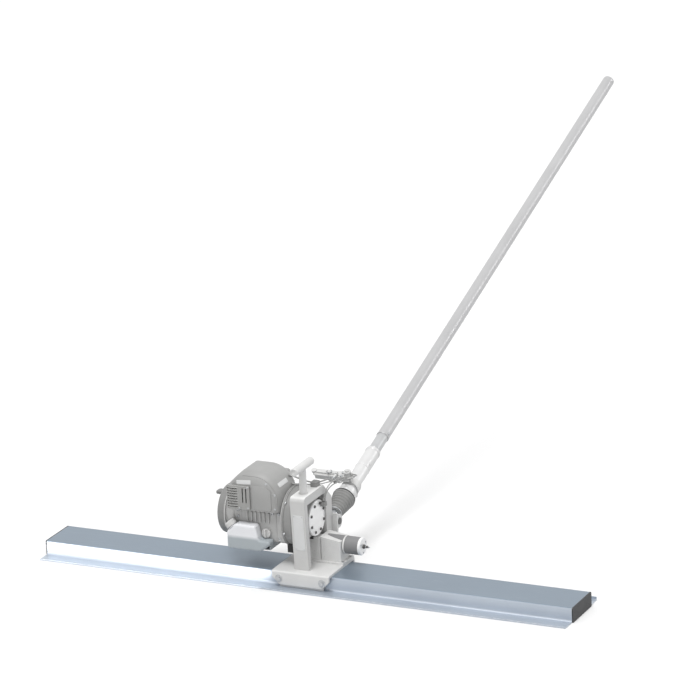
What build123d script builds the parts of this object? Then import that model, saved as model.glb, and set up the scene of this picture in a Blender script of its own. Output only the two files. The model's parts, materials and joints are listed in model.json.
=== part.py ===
"""Vibrating power screed: a hollow aluminium blade, a clamped head frame that carries a small
petrol engine and a belt-driven exciter, and a long twist pole that tilts the blade.

Frame: +X along the blade, +Y back towards the operator, +Z up. The origin is the middle of the
blade's underside. All sizes are millimetres.
"""
import math
import os

from build123d import *

# ------------------------------------------------------------------ clearances
FIT = 0.05              # radial clearance of a running fit
SLIP = 0.1              # radial clearance of a sliding or plugged fit
GAP = 0.4               # air between pieces that pass each other

# ------------------------------------------------------------------ blade
BLADE_LENGTH = 1830.0
BLADE_WIDTH = 254.0
BOX_WIDTH = 150.0
BLADE_HEIGHT = 48.0
BLADE_WALL = 2.6
FLANGE_THICK = 3.0
FRONT_LIP = 5.0
REAR_LIP = 12.0
BOX_RADIUS = 4.0
FLANGE_FILLET = 7.0
CAP_FACE = 4.0
CAP_PLUG = 16.0

# ------------------------------------------------------------------ clamp on the blade
SADDLE_LEFT = -94.0
SADDLE_RIGHT = 104.0
SADDLE_THICK = 8.0
JAW_ROOM = 13.0         # jaw's reach from the blade's box to the saddle's flange
SADDLE_DROP = 12.0      # height of the flange's lower edge above the floor
SADDLE_CHAMFER = 24.0
SADDLE_HALF = BOX_WIDTH / 2 + JAW_ROOM + SADDLE_THICK
CLAMP_BOLT_SPREAD = 150.0
CLAMP_BOLT_Z = 32.0
M8 = 4.0                # radius of an M8 shank
BOLT_HOLE = 4.3
WASHER_R = 8.0
WASHER_T = 1.6
HEX_R = 7.5             # across-corners radius of an M8 head
HEX_T = 5.3

# ------------------------------------------------------------------ head frame
FRAME_LEFT = -27.0
FRAME_WIDTH = 50.0
FRONT_FOOT_Y = -67.0
FRONT_TOP_Y = -80.0
FRONT_LEG = 20.0
FRAME_TOP = 300.0
TOP_BAR = 28.0
REAR_OUTER_Y = 115.0
REAR_LEG = 42.0
REAR_FOOT_Y = 94.0
CHAMFER = 55.0          # the sloped corner above the rear leg
FRAME_BEND = 14.0
WEB_THICK = 8.0
WEB_X = -12.0
WEB_FOOT = 140.0

# ------------------------------------------------------------------ lifting handle
HANDLE_X = -2.0
HANDLE_Y = -31.0
POST_R = 12.0
POST_LENGTH = 77.0
BAR_R = 13.0
BAR_BORE = 9.5
BAR_LENGTH = 125.0

# ------------------------------------------------------------------ drive line
CRANK_Y, CRANK_Z = 20.0, 203.0
SHAFT_R = 10.0
BEARING_R = 21.0
BEARING_W = 10.0
HOUSING_R = 58.0
HOUSING_CAVITY = 40.0
HOUSING_BOSS = 27.0
HOUSING_DEPTH = 39.0
COVER_T = 6.0
COVER_SCREW_PCD = 93.0
COVER_SCREWS = 8
SCREW_R = 3.0
SCREW_HEAD_R = 4.6
SCREW_HEAD_T = 3.0
PULLEY_X = -14.0
PULLEY_W = 13.0
DRIVE_PULLEY_R = 26.0
DRIVEN_PULLEY_R = 20.0
BELT_T = 3.0
BELT_W = 10.0

# ------------------------------------------------------------------ exciter
EXCITER_Y, EXCITER_Z = 55.0, 111.0
TUBE_R = 28.5
TUBE_WALL = 4.0
TUBE_END = 148.0
EXCITER_SHAFT_R = 8.5
EXCITER_BEARING_W = 12.0
WEIGHT_R = 22.0
WEIGHT_W = 28.0
WEIGHT_X = (46.0, 88.0)
EXC_CAP_T = 8.0
NIPPLE_LENGTH = 22.0
PEDESTAL_END = 94.0
PEDESTAL_Y0 = 19.0
PEDESTAL_Y1 = 86.0
PEDESTAL_LOW = 131.0
PEDESTAL_HIGH = 141.0
FOOT_T = 6.0
FOOT_Y0 = 13.0
FOOT_Y1 = 92.0
FOOT_END = 104.0
GUARD_INSET = 4.0       # the belt guard stays this far inside the frame's left face
GUARD_WALL_T = 3.5
GUARD_TOP = 138.0
GUARD_BACK = 51.5

# ------------------------------------------------------------------ engine
BELL_R = 96.0
BELL_LEFT = -62.0
BELL_WALL = 3.0
BELL_SEAT_R = 50.0      # inner ring that the bell bolts down on
BELL_SEAT_BORE = 44.0
RUBBER_FOOT_Y = (64.0, 26.0)    # how far before the crank's axis the foot lies
RUBBER_FOOT_DROP = 6.0
CASE_LEFT = -240.0
CASE_Y0 = -50.0
CASE_Y1 = 85.0
CASE_Z0 = 128.0
CASE_Z1 = 238.0
CASE_WALL = 4.0
CASE_RIBS = 6
CASE_RIB_PITCH = 15.0
MAIN_BEARING_R = 17.0
MAIN_BEARING_W = 12.0
CRANK_R = 8.0
CRANK_THROW = 15.0
CRANK_WEB_R = 30.0
CRANK_WEB_T = 8.0
CYL_X = -160.0
BORE_R = 20.0
BARREL_R = 28.0
FIN_SIZE = 62.0
FIN_T = 2.2
FIN_PITCH = 7.0
FIN_COUNT = 8
HEAD_T = 16.0
SHROUD_Y0 = -75.0
SHROUD_Y1 = 75.0
SHROUD_TOP = 362.0
SHROUD_WALL = 2.5
SHROUD_ROUND = 86.0
SHROUD_EDGE = 36.0
SHROUD_SHOULDER = 40.0
SHOULDER_EDGE = 10.0
BLOWER_R = 72.5
BLOWER_LEFT = -272.0
FLYWHEEL_R = 64.0
FLYWHEEL_T = 20.0
RECOIL_R = 80.0
RECOIL_LEFT = -298.0
RECOIL_WALL = 2.5
REEL_R = 36.0
GRIP_Z = 253.0
GRIP_LENGTH = 34.0
GRIP_WIDTH = 30.0
GRIP_T = 10.0
ROPE_R = 2.0
DRUM_R = 38.0
DRUM_WALL = 4.0
DRUM_LEFT = -56.0
DRUM_WEB_X = -41.0

# fuel tank, slung under the crankcase with a raised front
TANK_LEFT = -252.0
TANK_RIGHT = -84.0
TANK_STEP = -152.0      # where the raised front ends
TANK_BACK = 96.0
TANK_FRONT = -86.0
TANK_Z0 = 106.0
TANK_FLOOR_TOP = 124.0
TANK_TOP = 191.0
TANK_LOBE_TOP = 144.0   # top of the low lobe beside the raised front
TANK_KEEL = 52.0        # how far the floor's right end is cut back
TANK_SHOULDER_X = 32.0
TANK_SHOULDER_Z = 27.0
TANK_ROUND = 9.0
TANK_FRONT_ROUND = 8.0
TANK_LOW_RIGHT = -113.0
TANK_WALL = 2.5
FILLER_R = 13.0
FILLER_REACH = 12.0
FILLER_Y = -70.0
FUEL_CAP_R = 18.0
FUEL_CAP_T = 18.0
FUEL_CAP_LIFT = 3.0     # air between the shoulder and the cap
OIL_CAP_X, OIL_CAP_Z = -127.0, 161.0
OIL_CAP_R = 15.0
OIL_CAP_T = 16.0

# exhaust
GUARD_LEFT = -246.0
GUARD_RIGHT = -166.0
GUARD_Z0 = 240.0
GUARD_Z1 = 320.0
GUARD_DEPTH = 8.0
GUARD_WALL = 2.0
GUARD_HOLD = 6.0        # how far its rim reaches back round the cover's corner
LOUVRES = 8
LOUVRE_H = 4.0

# ------------------------------------------------------------------ tilt joint and pole
PIVOT_Y, PIVOT_Z = 144.0, 151.0
POLE_ANGLE = 19.2
PIN_R = 7.0
LUG_R = 22.0
LUG_T = 9.0
LUG_GAP = 47.0          # clear width between the two lugs
CLEVIS_T = 8.0
CLEVIS_HALF_H = 34.0
KNUCKLE_R = 19.0
NECK_R = 15.0
BOOT_START = 40.0
BOOT_END = 115.0
BOOT_SMALL_R = 23.0
BOOT_BIG_R = 37.5
BOOT_WALL = 2.5
BOOT_FOLDS = 7
COLLAR_R = 31.0
COLLAR_END = 149.0
SLEEVE_R = 24.0
SLEEVE_BORE = 20.2
SLEEVE_END = 357.0
SLEEVE_SCREW_AT = 282.0
BUSH_LENGTH = 30.0
COUPLER_R = 19.25
COUPLER_WALL = 2.5
COUPLER_START = 168.0
COUPLER_END = 520.0
POLE_R = 20.75
POLE_WALL = 1.4
POLE_START = 434.0
POLE_END = 2562.0
POLE_CAP_T = 4.0
POLE_CAP_PLUG = 24.0
BUTTON_R = 5.0
BUTTON_AT = 446.0
BUTTON_STAND = 2.4
BUTTON_TRAVEL = 3.0
BUTTON_ANGLE = 20.0     # how far above the side of the pole the button looks

# ------------------------------------------------------------------ controls on the sleeve
CLAMP_AT = 160.0
CLAMP_W = 26.0
CLAMP_R = 30.0
PLATE_FAR = 118.0       # across the sleeve, counted towards -X
PLATE_NEAR = -16.0
PLATE_V = 48.0          # height of the plate above the pole's axis
PLATE_T = 4.0
PLATE_AT = 150.0
PLATE_W = 30.0
LEVER_ACROSS = 62.0
LEVER_AT = 164.0
LEVER_LENGTH = 54.0
LEVER_T = 4.0
SWITCH_ACROSS = -2.0
LEVER_STUD_R = 4.0
CABLE_STOP_ACROSS = 33.0
CABLE_V = 60.0          # height of the cable ends above the pole's axis
SWITCH_R = 9.0
SWITCH_H = 16.0
SWITCH_TRAVEL = 3.0

CABLE_R = 2.5
WIRE_R = 1.8

CRANK = Plane(origin=(0, CRANK_Y, CRANK_Z), x_dir=(0, 1, 0), z_dir=(1, 0, 0))
EXCITER = Plane(origin=(0, EXCITER_Y, EXCITER_Z), x_dir=(0, 1, 0), z_dir=(1, 0, 0))
SECTION = Plane(origin=(0, 0, 0), x_dir=(0, 1, 0), z_dir=(1, 0, 0))
POLE = Plane(
    origin=(0, PIVOT_Y, PIVOT_Z),
    x_dir=(1, 0, 0),
    z_dir=(0, math.cos(math.radians(POLE_ANGLE)), math.sin(math.radians(POLE_ANGLE))),
)
SADDLE_TOP = BLADE_HEIGHT + SADDLE_THICK
SADDLE_MID = (SADDLE_LEFT + SADDLE_RIGHT) / 2
FRAME_RIGHT = FRAME_LEFT + FRAME_WIDTH


# ------------------------------------------------------------------ shape helpers
def block(x0, x1, y0, y1, z0, z1):
    """A box between two corners."""
    return Pos((x0 + x1) / 2, (y0 + y1) / 2, (z0 + z1) / 2) * Box(x1 - x0, y1 - y0, z1 - z0)


def rod(radius, start, end):
    """A cylinder about local Z."""
    return Pos(0, 0, start) * Cylinder(radius, end - start, align=(Align.CENTER, Align.CENTER, Align.MIN))


def tube(outer, inner, start, end):
    """A hollow cylinder about local Z."""
    return rod(outer, start, end) - rod(inner, start - 1, end + 1)


def cone(r0, r1, start, end):
    """A cone frustum about local Z."""
    return Pos(0, 0, start) * Cone(r0, r1, end - start, align=(Align.CENTER, Align.CENTER, Align.MIN))


def prism_x(points, x0, x1):
    """A polygon of (y, z) points extruded along X."""
    return Pos(x0, 0, 0) * (SECTION * extrude(make_face(Polyline(*points, close=True)), x1 - x0))


def prism_y(points, y0, y1):
    """A polygon of (x, z) points extruded along Y."""
    face = make_face(Polyline(*points, close=True))
    return Plane(origin=(0, y0, 0), x_dir=(1, 0, 0), z_dir=(0, -1, 0)) * extrude(face, -(y1 - y0))


def hex_bolt(shank_r, length, washer=True):
    """A hexagon bolt along local Z: head above zero, shank below."""
    seat = WASHER_T if washer else 0.0
    bolt = Pos(0, 0, seat) * extrude(RegularPolygon(HEX_R, 6), HEX_T) + rod(shank_r, -length, seat)
    if washer:
        bolt += rod(WASHER_R, 0, WASHER_T)
    return bolt


def on_crank(part):
    return CRANK * part


def on_exciter(part):
    return EXCITER * part


def on_pole(part):
    return POLE * part


def on_sleeve(part):
    """Places controls: local X runs towards -X, local Y points up from the pole."""
    return POLE * (Rot(0, 0, 180) * part)


# ------------------------------------------------------------------ blade and clamp
def blade_section():
    outer = Pos(0, BLADE_HEIGHT / 2) * RectangleRounded(BOX_WIDTH, BLADE_HEIGHT, BOX_RADIUS)
    outer += Pos(0, BLADE_HEIGHT / 4) * Rectangle(BOX_WIDTH, BLADE_HEIGHT / 2)
    outer += Pos(0, FLANGE_THICK / 2) * Rectangle(BLADE_WIDTH, FLANGE_THICK)
    root = outer.vertices().filter_by(
        lambda v: abs(abs(v.X) - BOX_WIDTH / 2) < 0.1 and abs(v.Y - FLANGE_THICK) < 0.1
    )
    outer = fillet(root, FLANGE_FILLET)
    edge = (BLADE_WIDTH - FLANGE_THICK) / 2
    outer += Pos(-edge, FRONT_LIP / 2) * Rectangle(FLANGE_THICK, FRONT_LIP)
    outer += Pos(edge, REAR_LIP / 2) * Rectangle(FLANGE_THICK, REAR_LIP)
    hollow = RectangleRounded(BOX_WIDTH - 2 * BLADE_WALL, BLADE_HEIGHT - 2 * BLADE_WALL, BOX_RADIUS - 2)
    return outer - Pos(0, BLADE_HEIGHT / 2) * hollow


def blade():
    return SECTION * extrude(blade_section(), BLADE_LENGTH / 2, both=True)


def end_caps():
    """Black plugs that close both ends of the blade's box."""
    face = extrude(RectangleRounded(BOX_WIDTH, BLADE_HEIGHT, BOX_RADIUS), CAP_FACE)
    inner_w = BOX_WIDTH - 2 * BLADE_WALL - 2 * SLIP
    inner_h = BLADE_HEIGHT - 2 * BLADE_WALL - 2 * SLIP
    plug = extrude(RectangleRounded(inner_w, inner_h, BOX_RADIUS - 2), -CAP_PLUG)
    plug -= extrude(Rectangle(inner_w - 6, inner_h - 6), -CAP_PLUG - 1)
    cap = SECTION * (Pos(0, BLADE_HEIGHT / 2) * (face + plug))
    cap = Pos(BLADE_LENGTH / 2, 0, 0) * cap
    return [cap, mirror(cap, about=Plane.YZ)]


def clamp_bolt_places():
    """The four clamp bolts as (x, side) pairs."""
    half = CLAMP_BOLT_SPREAD / 2
    return [(SADDLE_MID + dx, side) for side in (-1, 1) for dx in (-half, half)]


def clamp_saddle():
    saddle = block(SADDLE_LEFT, SADDLE_RIGHT, -SADDLE_HALF, SADDLE_HALF, BLADE_HEIGHT, SADDLE_TOP)
    outline = [
        (SADDLE_LEFT, SADDLE_TOP), (SADDLE_RIGHT, SADDLE_TOP),
        (SADDLE_RIGHT, SADDLE_DROP + SADDLE_CHAMFER), (SADDLE_RIGHT - SADDLE_CHAMFER, SADDLE_DROP),
        (SADDLE_LEFT + SADDLE_CHAMFER, SADDLE_DROP), (SADDLE_LEFT, SADDLE_DROP + SADDLE_CHAMFER),
    ]
    saddle += prism_y(outline, -SADDLE_HALF, -SADDLE_HALF + SADDLE_THICK)
    saddle += prism_y(outline, SADDLE_HALF - SADDLE_THICK, SADDLE_HALF)
    bends = saddle.edges().filter_by(Axis.X).filter_by(
        lambda e: abs(abs(e.center().Y) - SADDLE_HALF) < 0.1 and abs(e.center().Z - SADDLE_TOP) < 0.1
    )
    saddle = fillet(bends, SADDLE_THICK * 0.75)
    for x, side in clamp_bolt_places():
        hole = Pos(x, side * SADDLE_HALF, CLAMP_BOLT_Z) * Rot(90, 0, 0) * rod(BOLT_HOLE, -20, 20)
        saddle -= hole
    return saddle


def clamp_jaws():
    """Two bars that the bolts pull down on the blade's flanges and against its walls."""
    jaws = []
    for side in (-1, 1):
        near = BOX_WIDTH / 2 + FLANGE_FILLET
        far = SADDLE_HALF - SADDLE_THICK
        y0, y1 = sorted((side * near, side * far))
        jaw = block(SADDLE_LEFT + SADDLE_CHAMFER, SADDLE_RIGHT - SADDLE_CHAMFER, y0, y1,
                    FLANGE_THICK, BLADE_HEIGHT)
        y0, y1 = sorted((side * BOX_WIDTH / 2, side * near))
        jaw += block(SADDLE_LEFT + SADDLE_CHAMFER, SADDLE_RIGHT - SADDLE_CHAMFER, y0, y1,
                     FLANGE_THICK + FLANGE_FILLET, BLADE_HEIGHT)
        for x, bolt_side in clamp_bolt_places():
            if bolt_side == side:
                jaw -= Pos(x, side * far, CLAMP_BOLT_Z) * Rot(90, 0, 0) * rod(M8 + SLIP, -20, 20)
        jaws.append(jaw)
    return jaws


def frame_bolts():
    """The clamp's hexagon bolts and the two screws of the exciter's foot."""
    reach = SADDLE_HALF - BOX_WIDTH / 2 - 1
    bolts = pedestal_bolts()
    for x, side in clamp_bolt_places():
        bolts.append(Pos(x, side * SADDLE_HALF, CLAMP_BOLT_Z) * Rot(-90 * side, 0, 0) * hex_bolt(M8, reach))
    return bolts


# ------------------------------------------------------------------ head frame
def frame_outer():
    top = FRAME_TOP
    return [
        (FRONT_FOOT_Y, SADDLE_TOP), (FRONT_TOP_Y, top), (REAR_OUTER_Y - CHAMFER, top),
        (REAR_OUTER_Y, top - CHAMFER), (REAR_OUTER_Y, PIVOT_Z - CLEVIS_HALF_H),
        (REAR_FOOT_Y, PIVOT_Z - CLEVIS_HALF_H - 21), (REAR_FOOT_Y, SADDLE_TOP),
    ]


def frame_window():
    top = FRAME_TOP - TOP_BAR
    rear = REAR_OUTER_Y - REAR_LEG
    return [
        (FRONT_FOOT_Y + FRONT_LEG, SADDLE_TOP - 1), (FRONT_TOP_Y + FRONT_LEG + 2, top),
        (rear - TOP_BAR / 2, top), (rear, top - TOP_BAR / 2), (rear, SADDLE_TOP - 1),
    ]


def head_frame():
    frame = prism_x(frame_outer(), FRAME_LEFT, FRAME_RIGHT)
    bend = frame.edges().filter_by(Axis.X).filter_by(
        lambda e: e.center().Z > FRAME_TOP - 1 and e.center().Y < 0
    )
    frame = fillet(bend, FRAME_BEND)
    frame -= prism_x(frame_window(), FRAME_LEFT - 1, FRAME_RIGHT + 1)
    housing_end = FRAME_LEFT + HOUSING_DEPTH + COVER_T
    frame -= on_crank(rod(HOUSING_R, FRAME_LEFT - 1, housing_end + 1))
    frame -= belt_room()
    return [frame, web_plate()]


def belt_room():
    """Space in the frame that the belt and its flanged pulleys run in."""
    room = extrude(belt_loop(BELT_T + 2), PULLEY_W + 4)
    return Pos(PULLEY_X - 2, 0, 0) * (SECTION * room)


def web_plate():
    """Plate across the window that carries the bearing housing."""
    web = prism_x(frame_window(), WEB_X, WEB_X + WEB_THICK)
    web &= block(FRAME_LEFT, FRAME_RIGHT, FRONT_TOP_Y, REAR_OUTER_Y, WEB_FOOT, FRAME_TOP)
    return web - on_crank(rod(HOUSING_R, FRAME_LEFT, FRAME_RIGHT)) - belt_room()


def bar_place():
    return Pos(HANDLE_X, HANDLE_Y, FRAME_TOP + POST_LENGTH + BAR_R - 2) * Rot(90, 0, 0)


def lift_handle():
    """Cross bar and its post, welded to the frame's top."""
    core = rod(BAR_R, -BAR_LENGTH / 2, BAR_LENGTH / 2)
    post = Pos(HANDLE_X, HANDLE_Y, 0) * rod(POST_R, FRAME_TOP, FRAME_TOP + POST_LENGTH + BAR_R)
    post -= bar_place() * core
    bar = chamfer(core.edges().filter_by(GeomType.CIRCLE), 1.5)
    bar -= rod(BAR_BORE, -BAR_LENGTH / 2 - 1, BAR_LENGTH / 2 + 1)
    return [post, bar_place() * bar]


# ------------------------------------------------------------------ drive line
def bearing_housing():
    start = FRAME_LEFT
    end = start + HOUSING_DEPTH
    body = rod(HOUSING_R, start, end) - rod(HOUSING_CAVITY, start + 9, end + 1)
    body += rod(HOUSING_BOSS, start, start + BEARING_W)
    body -= rod(BEARING_R, start - 1, start + BEARING_W + 1)
    body = on_crank(body) - belt_room()
    return body - screw_shanks(SCREW_R + SLIP)


def bearing_cover():
    start = FRAME_LEFT + HOUSING_DEPTH
    disc = rod(HOUSING_R, start, start + COVER_T)
    disc = chamfer(disc.faces().sort_by(Axis.Z)[-1].edges(), 1.5)
    disc += tube(HOUSING_BOSS, BEARING_R, start - BEARING_W, start)
    return on_crank(disc) - screw_shanks(SCREW_R + SLIP)


def screw_shanks(radius):
    end = FRAME_LEFT + HOUSING_DEPTH + COVER_T
    places = PolarLocations(COVER_SCREW_PCD / 2, COVER_SCREWS, start_angle=22.5)
    shanks = [place * rod(radius, end - 18, end + 1) for place in places]
    return on_crank(Compound(children=shanks))


def cover_screws():
    end = FRAME_LEFT + HOUSING_DEPTH + COVER_T
    screws = []
    for place in PolarLocations(COVER_SCREW_PCD / 2, COVER_SCREWS, start_angle=22.5):
        screw = rod(SCREW_R, end - 16, end) + rod(SCREW_HEAD_R, end, end + SCREW_HEAD_T)
        screw -= Pos(0, 0, end + 1) * extrude(RegularPolygon(2.6, 6), SCREW_HEAD_T)
        screws.append(on_crank(place * screw))
    return screws


def ball_bearing(outer, inner, start, width):
    """One bearing as a closed ring with a groove for the shields."""
    ring = tube(outer, inner, start, start + width)
    mid = (outer + inner) / 2
    groove = (outer - inner) / 6
    for face in (start, start + width):
        ring -= tube(mid + groove, mid - groove, face - 0.8, face + 0.8)
    return ring


def ball_bearings():
    """Two bearings each for the drive shaft, the crankshaft and the exciter shaft."""
    drive_starts = (FRAME_LEFT, FRAME_LEFT + HOUSING_DEPTH - BEARING_W)
    tube_bore = TUBE_R - TUBE_WALL
    rings = [on_crank(ball_bearing(BEARING_R, SHAFT_R + FIT, s, BEARING_W)) for s in drive_starts]
    for s in main_bearing_starts():
        rings.append(on_crank(ball_bearing(MAIN_BEARING_R, CRANK_R + FIT, s, MAIN_BEARING_W)))
    for s in exciter_bearing_starts():
        rings.append(on_exciter(ball_bearing(tube_bore, EXCITER_SHAFT_R + FIT, s, EXCITER_BEARING_W)))
    return rings


def drive_shaft():
    end = FRAME_LEFT + HOUSING_DEPTH - 0.5
    return on_crank(rod(SHAFT_R, DRUM_WEB_X, end))


def pulley(radius, bore):
    """Flanged pulley with a shallow belt track."""
    wheel = rod(radius, PULLEY_X, PULLEY_X + PULLEY_W)
    for x in (PULLEY_X, PULLEY_X + PULLEY_W - 1.2):
        wheel += rod(radius + BELT_T - 0.5, x, x + 1.2)
    return wheel - rod(bore, PULLEY_X - 1, PULLEY_X + PULLEY_W + 1)


def drive_pulley():
    return on_crank(pulley(DRIVE_PULLEY_R, SHAFT_R))


def driven_pulley():
    return on_exciter(pulley(DRIVEN_PULLEY_R, EXCITER_SHAFT_R))


def belt_loop(extra):
    """The hull of the two pulleys, grown by extra, in the belt's plane."""
    big = Pos(CRANK_Y, CRANK_Z) * Circle(DRIVE_PULLEY_R + extra)
    small = Pos(EXCITER_Y, EXCITER_Z) * Circle(DRIVEN_PULLEY_R + extra)
    return make_hull(big.edges() + small.edges())


def belt():
    face = belt_loop(GAP / 2 + BELT_T) - belt_loop(GAP / 2)
    start = PULLEY_X + (PULLEY_W - BELT_W) / 2
    return Pos(start, 0, 0) * (SECTION * extrude(face, BELT_W))


# ------------------------------------------------------------------ exciter
def exciter_pedestal():
    """Casting that holds the exciter tube, with the guard that closes the lower belt run in."""
    left = FRAME_RIGHT
    outline = [(left, SADDLE_TOP), (PEDESTAL_END, SADDLE_TOP), (PEDESTAL_END, PEDESTAL_LOW),
               (left, PEDESTAL_HIGH)]
    body = prism_y(outline, PEDESTAL_Y0, PEDESTAL_Y1)
    body = fillet(body.edges().filter_by(Axis.Z), 6)
    body += block(left, FOOT_END, FOOT_Y0, FOOT_Y1, SADDLE_TOP, SADDLE_TOP + FOOT_T)
    for y in pedestal_bolt_rows():
        body -= Pos(pedestal_bolt_x(), y, SADDLE_TOP) * rod(SCREW_R + SLIP, -1, FOOT_T + 1)
    body -= on_exciter(rod(TUBE_R, left - 1, PEDESTAL_END + 1))
    return body + (belt_guard() - belt_room())


def belt_guard():
    """Front wall, lid and foot round the lower end of the belt, inside the frame's window."""
    left = FRAME_LEFT + GUARD_INSET
    guard = block(left, FRAME_RIGHT, PEDESTAL_Y0, PEDESTAL_Y0 + GUARD_WALL_T, SADDLE_TOP, GUARD_TOP)
    guard += block(left, FRAME_RIGHT, PEDESTAL_Y0, GUARD_BACK, GUARD_TOP - GUARD_WALL_T, GUARD_TOP)
    return guard + block(left, FRAME_RIGHT, FOOT_Y0, GUARD_BACK, SADDLE_TOP, SADDLE_TOP + FOOT_T)


def pedestal_bolt_x():
    return (PEDESTAL_END + FOOT_END) / 2


def pedestal_bolt_rows():
    return (FOOT_Y0 + 10, FOOT_Y1 - 10)


def pedestal_bolts():
    bolts = []
    for y in pedestal_bolt_rows():
        screw = rod(SCREW_R, 0, FOOT_T) + rod(SCREW_HEAD_R, FOOT_T, FOOT_T + SCREW_HEAD_T)
        bolts.append(Pos(pedestal_bolt_x(), y, SADDLE_TOP) * screw)
    return bolts


def exciter_tube():
    return on_exciter(tube(TUBE_R, TUBE_R - TUBE_WALL, FRAME_RIGHT, TUBE_END))


def exciter_bearing_starts():
    return (FRAME_RIGHT + 3, TUBE_END - EXCITER_BEARING_W - 8)


def exciter_shaft():
    return on_exciter(rod(EXCITER_SHAFT_R, PULLEY_X - 1, TUBE_END - 7))


def eccentric_weights():
    weights = []
    for x in WEIGHT_X:
        disc = tube(WEIGHT_R, EXCITER_SHAFT_R, x, x + WEIGHT_W)
        disc -= Pos(0, WEIGHT_R, x + WEIGHT_W / 2) * Box(2 * WEIGHT_R, WEIGHT_R, WEIGHT_W + 2)
        weights.append(on_exciter(disc))
    return weights


def exciter_end_cap():
    cap = rod(TUBE_R, TUBE_END, TUBE_END + EXC_CAP_T)
    cap = chamfer(cap.faces().sort_by(Axis.Z)[-1].edges(), 2)
    cap += rod(TUBE_R - TUBE_WALL, TUBE_END - 5, TUBE_END)
    return on_exciter(cap)


def grease_nipple():
    start = TUBE_END + EXC_CAP_T
    nipple = extrude(RegularPolygon(7, 6), 6) + rod(4, 6, NIPPLE_LENGTH - 7)
    nipple += cone(4, 2.5, NIPPLE_LENGTH - 7, NIPPLE_LENGTH - 4)
    nipple += Pos(0, 0, NIPPLE_LENGTH - 3.5) * Sphere(3.5)
    return on_exciter(Pos(0, 0, start) * nipple)


# ------------------------------------------------------------------ engine, rotating parts
def crankshaft():
    """Shaft, two balanced webs and the crank pin; the pin stands below the axis at rest."""
    left_web = CYL_X - CRANK_WEB_T - 8
    right_web = CYL_X + 8
    shaft = rod(CRANK_R, BLOWER_LEFT - 10, left_web) + rod(CRANK_R, right_web, DRUM_LEFT + 13)
    shaft += rod(CRANK_WEB_R, left_web, left_web + CRANK_WEB_T)
    shaft += rod(CRANK_WEB_R, right_web, right_web + CRANK_WEB_T)
    shaft += Pos(0, -CRANK_THROW, 0) * rod(CRANK_R - 1, left_web, right_web)
    return on_crank(shaft)


def main_bearing_starts():
    return (CYL_X - 44, CYL_X + 44 - MAIN_BEARING_W)


def flywheel_fan():
    start = BLOWER_LEFT + 5
    wheel = tube(FLYWHEEL_R - 16, CRANK_R, start + FLYWHEEL_T - 8, start + FLYWHEEL_T)
    wheel += tube(FLYWHEEL_R, FLYWHEEL_R - 17, start + FLYWHEEL_T - 4, start + FLYWHEEL_T)
    wheel += tube(CRANK_R + 8, CRANK_R, start, start + FLYWHEEL_T)
    vane = Pos(FLYWHEEL_R - 14, 0, start + FLYWHEEL_T / 2) * Rot(0, 0, 25) * Box(26, 2.5, FLYWHEEL_T)
    for place in PolarLocations(0, 14):
        wheel += place * vane
    return on_crank(wheel)


def clutch_shoes():
    """Two weighted shoes on a carrier that swing out against the drum."""
    shoes = tube(DRUM_R - DRUM_WALL - 1, 16, DRUM_LEFT + 1, DRUM_LEFT + 12)
    shoes -= Pos(0, 0, DRUM_LEFT + 6) * Box(2 * DRUM_R, 4, 14)
    carrier = tube(17, CRANK_R, DRUM_LEFT + 1, DRUM_LEFT + 12)
    return on_crank(shoes + carrier)


def clutch_drum():
    drum = tube(DRUM_R, DRUM_R - DRUM_WALL, DRUM_LEFT, DRUM_WEB_X)
    drum += rod(DRUM_R, DRUM_WEB_X, DRUM_WEB_X + 3)
    drum += rod(17, DRUM_WEB_X, FRAME_LEFT - GAP)
    return on_crank(drum - rod(SHAFT_R, DRUM_WEB_X, FRAME_RIGHT))


# ------------------------------------------------------------------ engine, fixed parts
def clutch_housing():
    """Round bell between the engine and the head frame."""
    bell = rod(BELL_R, BELL_LEFT, FRAME_LEFT)
    bell = fillet(bell.faces().sort_by(Axis.Z)[-1].edges(), 8)
    bell -= rod(BELL_R - BELL_WALL, BELL_LEFT - 1, FRAME_LEFT - 4)
    bell += tube(BELL_SEAT_R, BELL_SEAT_BORE, BELL_LEFT, FRAME_LEFT - 4)
    return on_crank(bell - rod(20, FRAME_LEFT - 5, FRAME_LEFT + 1))


def bell_plate():
    """Back plate of the crankcase that the bell bolts to."""
    plate = rod(BELL_R, BELL_LEFT - 4, BELL_LEFT) - rod(CRANK_R + 8, BELL_LEFT - 5, BELL_LEFT + 1)
    return on_crank(plate)


def rubber_foot():
    front, back = RUBBER_FOOT_Y
    pad = block(BELL_LEFT + 2, FRAME_LEFT - 3, CRANK_Y - front, CRANK_Y - back,
                CRANK_Z - BELL_R - RUBBER_FOOT_DROP, CRANK_Z)
    return pad - on_crank(rod(BELL_R, BELL_LEFT, FRAME_LEFT))


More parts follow.
